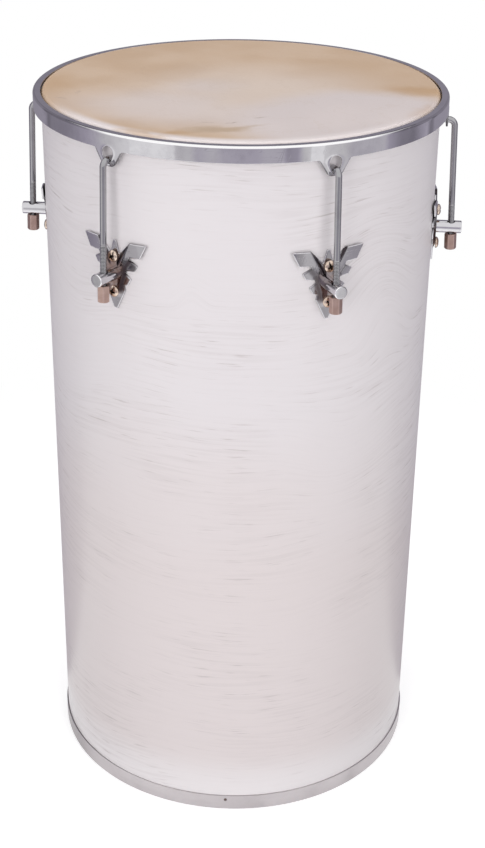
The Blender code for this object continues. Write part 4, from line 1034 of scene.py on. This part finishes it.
def screw_material():
    """Copper-tinted brass, polished by the press and browned in patches. The attribute edge is up to
    0.5 on the lower side of the head and on the side away from the drum's front, which is painted shade,
    and 1 in the cross recess, which is painted shade near black."""
    material, tree, shader = new_material("copper-tinted brass")
    where = node(tree, "ShaderNodeTexCoord").outputs["Object"]
    marks = node(tree, "ShaderNodeAttribute", attribute_name="edge").outputs["Fac"]
    # Painted shade: the cross recess goes near black.
    shade_marks = between(tree, marks, 0.55, 0.95)
    wear = with_group(tree, METAL_WEAR, {"Vector": where, "Scale": 3.0})
    tarnish_and_shade = between(tree, noise(tree, where, 210.0, 2.0), 0.45, 0.75, 0.0, 0.5)
    # The attribute edge adds painted shade to the head's lower side and the side away from the front.
    tarnish_and_shade = calc(tree, "MAXIMUM", tarnish_and_shade, between(tree, marks, 0.0, 0.5, 0.0, 0.95))
    colour = mixed(tree, tarnish_and_shade, SCREW_BRASS, SCREW_TARNISH_AND_SHADE)
    colour = mixed(tree, calc(tree, "MULTIPLY", wear["Scratches"], 0.4), colour, (0.85, 0.68, 0.55, 1))
    tree.links.new(mixed(tree, shade_marks, colour, (0.012, 0.008, 0.006, 1)), shader.inputs["Base Color"])
    tree.links.new(between(tree, shade_marks, 0.0, 1.0, 1.0, 0.0), shader.inputs["Metallic"])
    tree.links.new(calc(tree, "ADD", calc(tree, "MULTIPLY", shade_marks, 0.8), 0.08), shader.inputs["Roughness"])
    tree.links.new(between(tree, shade_marks, 0.0, 1.0, 0.5, 0.1), shader.inputs["Specular IOR Level"])
    bumped(tree, shader, noise(tree, where, 600.0, 2.0), 0.00002)
    return material


screw_shape, recess_shade = screw_sheets()
brass = screw_material()
for number, station in enumerate(STATIONS):
    for side, up, turn in zip(("upper", "lower"), (0.5, -0.5), SCREW_TURNS[number]):
        place = out_of_drum(station, SCREW_SEAT, LUG_HEIGHT + up * SCREW_SPACING)
        spin = Matrix.Rotation(math.radians(turn), 4, "Z")
        head = np.concatenate([part[0] for part in moved(screw_shape, spin)])
        # Painted shade: the head darkens towards its lower side and the side away from the drum's front.
        outward = head[:, 0] * (0.8 if number < 3 else -0.8) - 0.6 * head[:, 1]
        dark_side = 0.5 * smooth_step(0.60 + 0.75 * outward / SCREW_HEAD_RADIUS)
        new_piece(f"plate_screw_{number + 1}_{side}", moved(screw_shape, place @ spin), brass, "drum_body",
                  [f"lug_screw_{number + 1}_{side}"], sharp=50, edge=np.maximum(recess_shade, dark_side))

# Inside the shell each screw has a zinc-plated hex nut with a round flange against the wood.
NUT_FLATS = 0.007
NUT_THICK = 0.004
NUT_FLANGE_RADIUS = 0.0048
NUT_FLANGE = 0.0009
NUT_FACE = 0.1474


def hexagon(turn, flats):
    """The radius of a hexagon in a direction: half the flats over the cosine of the way from the
    nearest flat's middle."""
    off = (turn + math.pi / 6) % (math.pi / 3) - math.pi / 6
    return flats / 2 / np.cos(off)


def hex_sheets(flats, bottom, top, bore, chamfer, steps=96):
    """A hex bar along Z. In each row the radius is the hexagon's, but no more than a cone's near the
    ends, which turns the corners off. Returns the sheets and how near each point is to a corner."""
    turn = np.linspace(0, 2 * math.pi, steps + 1)
    rise = np.array([0.0, 0.08, 0.18, 0.32, 0.5, 0.75, 1.0]) * chamfer * 2
    rows = np.concatenate([bottom + rise, (top - rise)[::-1]])[:, None]
    from_end = np.minimum(rows - bottom, top - rows)
    corner = flats / 2 / math.cos(math.pi / 6)
    limit = np.minimum(corner - 0.00012, corner - chamfer + from_end * 1.2)
    radius = np.minimum(hexagon(turn, flats), limit)
    nearness = smooth_step((radius - flats / 2) / (corner - flats / 2) * 1.6 - 0.55)
    points = np.stack(np.broadcast_arrays(radius * np.cos(turn), radius * np.sin(turn), rows), -1)
    inner = np.stack(np.broadcast_arrays(bore * np.cos(turn), bore * np.sin(turn), np.array([[top], [bottom]])), -1)
    whole = np.concatenate([points, inner, points[:1]])
    edges = np.concatenate([nearness, np.zeros((2, steps + 1)), nearness[:1]])
    uv = np.stack(np.broadcast_arrays(turn * flats / 2, np.arange(len(whole))[:, None] * 0.001), -1)
    return [sheet(whole, uv)], edges.ravel()


def zinc_material():
    """Zinc plate: pale grey, slightly blue, with cloudy spangle."""
    material, tree, shader = new_material("zinc plate", Metallic=1.0)
    where = node(tree, "ShaderNodeTexCoord").outputs["Object"]
    cloud = noise(tree, where, 500.0, 3.0)
    tree.links.new(mixed(tree, cloud, (0.42, 0.43, 0.45, 1), (0.66, 0.66, 0.64, 1)), shader.inputs["Base Color"])
    tree.links.new(between(tree, cloud, 0.3, 0.7, 0.3, 0.5), shader.inputs["Roughness"])
    bumped(tree, shader, cloud, 0.00004)
    return material


inner_nut, inner_nut_edge = hex_sheets(NUT_FLATS, -NUT_THICK, -NUT_FLANGE / 2, SCREW_RADIUS, 0.0004, 48)
flange_ring = lathe([(SCREW_RADIUS, -NUT_FLANGE), (NUT_FLANGE_RADIUS - 0.0002, -NUT_FLANGE),
                     (NUT_FLANGE_RADIUS, -NUT_FLANGE + 0.0002), (NUT_FLANGE_RADIUS, -0.0001),
                     (SCREW_RADIUS, -0.0001), (SCREW_RADIUS, -NUT_FLANGE)], 48)
zinc = zinc_material()
for number, station in enumerate(STATIONS):
    for side, up, turn in zip(("upper", "lower"), (0.5, -0.5), SCREW_TURNS[number]):
        place = out_of_drum(station, NUT_FACE, LUG_HEIGHT + up * SCREW_SPACING)
        place = place @ Matrix.Rotation(math.radians(turn), 4, "Z")
        new_piece(f"inner_nut_{number + 1}_{side}", moved([*inner_nut, flange_ring], place), zinc,
                  "drum_body", [f"screw_nut_{number + 1}_{side}"])

# Each tension rod is a chromed steel rod with one bend: its hook goes through an ear of the hoop, and
# its leg leans in from the post. The leg's lower part has a rolled thread of 24 turns to the inch.
ROD_RADIUS = 0.00245
ROD_AT_HOOK = 0.1665
HOOK_HEIGHT = 0.5652
HOOK_TIP = 0.1562
ROD_BEND = 0.005
ROD_BELOW_POST = 0.0157
THREAD_PITCH = 0.0254 / 24
THREAD_CREST = 0.00256
THREAD_DEPTH = 0.00046
THREAD_ABOVE_POST = (0.0228, 0.0195, 0.0215, 0.0205, 0.0235, 0.0265)
ROD_LEAN = math.atan((ROD_AT_POST - ROD_AT_HOOK) / (HOOK_HEIGHT - LUG_HEIGHT))


def rod_sheet(station, thread_above):
    """A round section carried along the leg, the bend and the hook, in the plane of the drum's radius.
    Over the thread its radius is less the depth times a ridge wave of (length / pitch - turn). Its
    edge values darken the thread's valleys and lighten its crests."""
    foot = (ROD_AT_POST + ROD_BELOW_POST * math.sin(ROD_LEAN), LUG_HEIGHT - ROD_BELOW_POST * math.cos(ROD_LEAN))
    line = rounded([(*foot, 0), (ROD_AT_HOOK, HOOK_HEIGHT, ROD_BEND), (HOOK_TIP, HOOK_HEIGHT, 0)], 17)
    length = path_length(line)
    thread_end = ROD_BELOW_POST + thread_above
    rows = np.concatenate([np.arange(0, thread_end, THREAD_PITCH / 8), [thread_end, thread_end + 0.0004],
                           length[1:-1], np.linspace(length[-2], length[-1], 5)[1:]])
    rows = np.unique(np.round(rows, 7))
    centre = np.stack([np.interp(rows, length, line[:, 0]), np.interp(rows, length, line[:, 1])], axis=1)
    ahead = np.gradient(centre, rows, axis=0)
    ahead /= np.linalg.norm(ahead, axis=1, keepdims=True)
    turn = np.linspace(0, 2 * math.pi, 33)
    on_thread = (rows < thread_end)[:, None]
    wave = (rows[:, None] / THREAD_PITCH - turn / (2 * math.pi)) % 1.0
    ridge = np.clip(1.6 * np.abs(2 * wave - 1) - 0.2, 0, 1)
    fade = np.clip((thread_end - rows) / (2 * THREAD_PITCH), 0, 1)[:, None]
    crest = ROD_RADIUS + (THREAD_CREST - ROD_RADIUS) * fade
    radius = np.where(on_thread, crest - THREAD_DEPTH * (1 - ridge) * fade, ROD_RADIUS)
    ends = np.minimum(rows, length[-1] - rows)[:, None]
    radius = np.minimum(radius, ROD_RADIUS - 0.0005 + ends)
    outward = np.stack([ahead[:, 1], -ahead[:, 0]], axis=1)
    away = centre[:, :1] + outward[:, :1] * radius * np.cos(turn)
    height = centre[:, 1:] + outward[:, 1:] * radius * np.cos(turn)
    sideways = radius * np.sin(turn)
    local = np.stack([sideways, -away, height], axis=-1)
    caps = [np.repeat(np.array([0.0, -centre[i, 0], centre[i, 1]])[None, None], 33, axis=1) for i in (0, -1)]
    local = np.concatenate([caps[0], local, caps[1]])
    rows = np.concatenate([[rows[0]], rows, [rows[-1]]])
    spin = np.array(Matrix.Rotation(station, 3, "Z"))
    marks = np.where(on_thread, (0.30 - 0.45 * ridge) * fade, 0.0)
    marks = np.concatenate([marks[:1], marks, marks[-1:]])
    return sheet(local @ spin.T, np.stack(np.broadcast_arrays(turn * ROD_RADIUS, rows[:, None]), -1)), marks


chrome_rod = chrome_material("chrome of the rods", (0.42, 0.415, 0.43, 1), (0.30, 0.29, 0.305, 1), 0.05, 0.00003)
for number, station in enumerate(STATIONS):
    rod_shape, rod_marks = rod_sheet(station, THREAD_ABOVE_POST[number])
    new_piece(f"hook_rod_{number + 1}", [rod_shape], chrome_rod, f"rod_body_{number + 1}",
              [f"tension_rod_{number + 1}"], sharp=50, edge=rod_marks)

# Each rod is pulled down by a long hex nut under its post, copper-plated and tarnished brown, with its
# corners turned off at both ends and rubbed by the key.
TENSION_FLATS = 0.0086
TENSION_LENGTH = 0.0127
TENSION_CHAMFER = 0.0008
TENSION_BORE = 0.00262
NUT_DROP = 0.0055
NUT_TURNS = (2, 5, 25, 50, 13, 41)
COPPER_RUBBED = (0.62, 0.46, 0.41, 1)
COPPER_TARNISH = (0.44, 0.30, 0.26, 1)


def nut_material():
    """Copper plate, evenly tarnished to a pinkish brown, and brighter where the key rubs: there the
    attribute edge is high."""
    material, tree, shader = new_material("tarnished copper plate", Metallic=0.9)
    where = node(tree, "ShaderNodeTexCoord").outputs["Object"]
    bright_edges = node(tree, "ShaderNodeAttribute", attribute_name="edge").outputs["Fac"]
    wear = with_group(tree, METAL_WEAR, {"Vector": where, "Scale": 2.5})
    cloud = between(tree, noise(tree, where, 160.0, 3.0), 0.3, 0.7, 0.0, 0.35)
    bright = calc(tree, "ADD", cloud, calc(tree, "MULTIPLY", bright_edges, 0.6), clamp=True)
    colour = mixed(tree, bright, COPPER_TARNISH, COPPER_RUBBED)
    colour = mixed(tree, calc(tree, "MULTIPLY", wear["Scratches"], 0.5), colour, COPPER_RUBBED)
    tree.links.new(colour, shader.inputs["Base Color"])
    tree.links.new(between(tree, bright, 0.0, 1.0, 0.46, 0.28), shader.inputs["Roughness"])
    bumped(tree, shader, noise(tree, where, 500.0, 3.0), 0.00003)
    return material


long_nut, long_nut_edge = hex_sheets(TENSION_FLATS, -TENSION_LENGTH, 0.0, TENSION_BORE, TENSION_CHAMFER)
copper = nut_material()
for number, station in enumerate(STATIONS):
    place = (Matrix.Rotation(station, 4, "Z") @ Matrix.Translation((0.0, -ROD_AT_POST, LUG_HEIGHT))
             @ Matrix.Rotation(-ROD_LEAN, 4, "X") @ Matrix.Translation((0.0, 0.0, -NUT_DROP))
             @ Matrix.Rotation(math.radians(NUT_TURNS[number]), 4, "Z"))
    new_piece(f"key_nut_{number + 1}", moved(long_nut, place), copper, f"nut_body_{number + 1}",
              [f"tension_nut_{number + 1}"], edge=long_nut_edge)

# The drum stands on white paper in soft studio light: two wide lamps in front, left and right, and one
# overhead. Metal shows the white room, and grey cards that stand round the drum and only metal sees.
FLOOR_SIZE = 8.0
CAMERA_TURN = math.radians(5.6)
CARD_DISTANCE = 1.05
CARDS = (
    ((-180, 0.26), (-150, 0.30), (-126, 0.38), (-121, 0.20), (-118, 0.27), (-96, 0.33), (-86, 0.44),
     (-76, 0.58), (-68, 0.76), (-57, 0.88)),
    ((-32, 0.66), (-25, 0.66), (-21, 0.54), (-13, 0.61), (-8, 0.53), (8, 0.50), (12, 0.56), (21, 0.56),
     (23, 0.38), (28, 0.42), (31, 0.66), (35, 0.80)),
    ((42, 0.80), (52, 0.70), (58, 0.60), (78, 0.60), (81, 0.44), (89, 0.30), (101, 0.25), (106, 0.36),
     (114, 0.48), (118, 0.24), (121, 0.26), (124, 0.38), (150, 0.34), (180, 0.26)),
)
CARD_HEIGHTS = ((0, 0.62), (55, 0.64), (85, 1.0), (110, 1.3), (180, 1.3))
CEILING_GREY = 0.14
FLOOR_GREY = 0.38


def room_rays(tree):
    """1 for the rays that show the white room: those of the camera, of gloss and of glass."""
    path = node(tree, "ShaderNodeLightPath").outputs
    seen = calc(tree, "ADD", path["Is Camera Ray"], path["Is Glossy Ray"])
    return calc(tree, "ADD", seen, path["Is Transmission Ray"], clamp=True)


def floor_material():
    """White paper: it catches the shadow near the drum, and further off it is the room's plain white."""
    material = bpy.data.materials.new("white floor")
    material.use_nodes = True
    tree = material.node_tree
    tree.nodes.clear()
    where = node(tree, "ShaderNodeTexCoord").outputs["Object"]
    flat = node(tree, "ShaderNodeVectorMath", {0: where}, operation="LENGTH").outputs["Value"]
    paper = node(tree, "ShaderNodeBsdfDiffuse", {"Color": (0.86, 0.86, 0.86, 1)}).outputs[0]
    lift = node(tree, "ShaderNodeEmission", {"Color": (1, 1, 1, 1), "Strength": 0.42}).outputs[0]
    near = node(tree, "ShaderNodeAddShader", {0: paper, 1: lift}).outputs[0]
    white = node(tree, "ShaderNodeEmission", {"Color": (1, 1, 1, 1), "Strength": 1.0}).outputs[0]
    room = node(tree, "ShaderNodeMixShader", {0: between(tree, flat, 0.28, 0.75), 1: near, 2: white}).outputs[0]
    bounce = node(tree, "ShaderNodeBsdfDiffuse", {"Color": (0.42, 0.41, 0.42, 1)}).outputs[0]
    both = node(tree, "ShaderNodeMixShader", {0: room_rays(tree), 1: bounce, 2: room}).outputs[0]
    node(tree, "ShaderNodeOutputMaterial", {0: both})
    return material


def staged(mesh, material):
    """An object of the studio, which is no part of the drum."""
    mesh.materials.append(material)
    thing = bpy.data.objects.new(mesh.name, mesh)
    bpy.context.scene.collection.objects.link(thing)
    return thing


half = FLOOR_SIZE / 2
floor_mesh = bpy.data.meshes.new("floor")
floor_mesh.from_pydata([(-half, -half, 0), (half, -half, 0), (half, half, 0), (-half, half, 0)], [], [(0, 1, 2, 3)])
staged(floor_mesh, floor_material())


def studio_world():
    """The room: white where it is seen, and an even grey light to all matt surfaces."""
    world = bpy.data.worlds.new("studio")
    world.use_nodes = True
    tree = world.node_tree
    tree.nodes.clear()
    even = node(tree, "ShaderNodeBackground", {"Color": (0.94, 0.94, 0.96, 1), "Strength": 0.46}).outputs[0]
    white = node(tree, "ShaderNodeBackground", {"Color": (1, 1, 1, 1), "Strength": 1.0}).outputs[0]
    both = node(tree, "ShaderNodeMixShader", {0: room_rays(tree), 1: even, 2: white}).outputs[0]
    node(tree, "ShaderNodeOutputWorld", {0: both})
    return world


bpy.context.scene.world = studio_world()


def grey_card_material():
    """Card of the grey that the attribute grey gives."""
    material = bpy.data.materials.new("grey card")
    material.use_nodes = True
    tree = material.node_tree
    tree.nodes.clear()
    grey = node(tree, "ShaderNodeAttribute", attribute_name="grey").outputs["Fac"]
    tint = mixed(tree, between(tree, grey, 0.42, 0.72), (0.99, 0.93, 1.10, 1), (1.0, 0.99, 1.0, 1))
    colour = mixed(tree, grey, (0.0, 0.0, 0.0, 1), tint)
    shown = node(tree, "ShaderNodeEmission", {"Color": colour, "Strength": 1.0}).outputs[0]
    node(tree, "ShaderNodeOutputMaterial", {0: shown})
    return material


def card_sheets():
    """Curved cards round the drum, upright on the paper: at each bearing a grey and a height are read
    from their lists. Behind the drum a darker one goes on up to the ceiling, and one lies on the paper."""
    sheets, greys = [], []
    for card in CARDS:
        bearing, grey = np.transpose(card)
        turns = np.unique(np.concatenate([bearing, np.arange(bearing[0], bearing[-1], 4.0)]))
        tops = np.interp(np.abs(turns), *np.transpose(CARD_HEIGHTS))
        around = np.radians(turns) + CAMERA_TURN
        sheets.append(sheet(on_drum(around, CARD_DISTANCE, np.stack([np.full(len(turns), 0.002), tops])), np.zeros(2)))
        greys.append(np.tile(np.interp(turns, bearing, grey), 2))
    around = np.radians(np.linspace(125, 235, 29)) + CAMERA_TURN
    sheets.append(sheet(on_drum(around, CARD_DISTANCE, np.array([[1.3], [2.1]])), np.zeros(2)))
    greys.append(np.full(58, CEILING_GREY))
    around = np.radians(np.linspace(98, 262, 42)) + CAMERA_TURN
    sheets.append(sheet(on_drum(around, np.array([[0.175], [CARD_DISTANCE]]), 0.0015), np.zeros(2)))
    greys.append(np.full(84, FLOOR_GREY))
    return sheets, np.concatenate(greys)


card_shapes, card_greys = card_sheets()
card_mesh = joined(card_shapes, "grey cards")
card_mesh.attributes.new("grey", "FLOAT", "POINT").data.foreach_set("value", card_greys.astype(np.float32))
cards = staged(card_mesh, grey_card_material())
cards.visible_camera = cards.visible_diffuse = cards.visible_shadow = cards.visible_transmission = False


def soft_lamp(name, place, target, size, power):
    """A square cloth lamp at a place, facing a target. Metal sees the room instead of it."""
    lamp = bpy.data.objects.new(name, bpy.data.lights.new(name, "AREA"))
    lamp.data.shape = "SQUARE"
    lamp.data.size = size
    lamp.data.energy = power
    lamp.location = place
    lamp.rotation_mode = "QUATERNION"
    lamp.rotation_quaternion = (Vector(target) - Vector(place)).to_track_quat("-Z", "Y")
    lamp.visible_camera = False
    lamp.visible_glossy = False
    bpy.context.scene.collection.objects.link(lamp)


soft_lamp("left lamp", (-1.1, -2.3, 0.75), (0, 0, 0.3), 1.6, 25.5)
soft_lamp("right lamp", (1.5, -2.05, 0.75), (0, 0, 0.3), 1.6, 22.5)
soft_lamp("top lamp", (0.0, 0.0, 2.4), (0, 0, 0.3), 1.4, 19)
soft_lamp("left side lamp", (-0.62, -0.2, 0.62), (0, 0, 0.45), 0.3, 0.35)
soft_lamp("right side lamp", (0.62, -0.1, 0.62), (0, 0, 0.45), 0.3, 0.30)

# The camera looks down at the drum from in front, a little to the right, as the photograph does.
CAMERA_DISTANCE = 1.1973
CAMERA_HEIGHT = 0.8950
CAMERA_PITCH = 0.4674
CAMERA_YAW = 0.0039
CAMERA_ROLL = 0.01427
FOCAL_PIXELS = 1555.0
PICTURE_HEIGHT = 848.0

ahead = Vector((math.sin(CAMERA_YAW) * math.cos(CAMERA_PITCH),
                math.cos(CAMERA_YAW) * math.cos(CAMERA_PITCH), -math.sin(CAMERA_PITCH)))
right = Vector((math.cos(CAMERA_YAW), -math.sin(CAMERA_YAW), 0.0))
above = right.cross(ahead)
rolled_right = math.cos(CAMERA_ROLL) * right + math.sin(CAMERA_ROLL) * above
rolled_up = -math.sin(CAMERA_ROLL) * right + math.cos(CAMERA_ROLL) * above
stand = Matrix((rolled_right, rolled_up, -ahead)).transposed().to_4x4()
stand.translation = Vector((0.0, -CAMERA_DISTANCE, CAMERA_HEIGHT))
camera = bpy.data.objects.new("camera", bpy.data.cameras.new("camera"))
bpy.context.scene.collection.objects.link(camera)
camera.matrix_world = Matrix.Rotation(CAMERA_TURN, 4, "Z") @ stand
camera.data.sensor_fit = "VERTICAL"
camera.data.sensor_height = 36.0
camera.data.lens = FOCAL_PIXELS / PICTURE_HEIGHT * 36.0
bpy.context.scene.camera = camera
bpy.context.scene.view_settings.view_transform = "Standard"
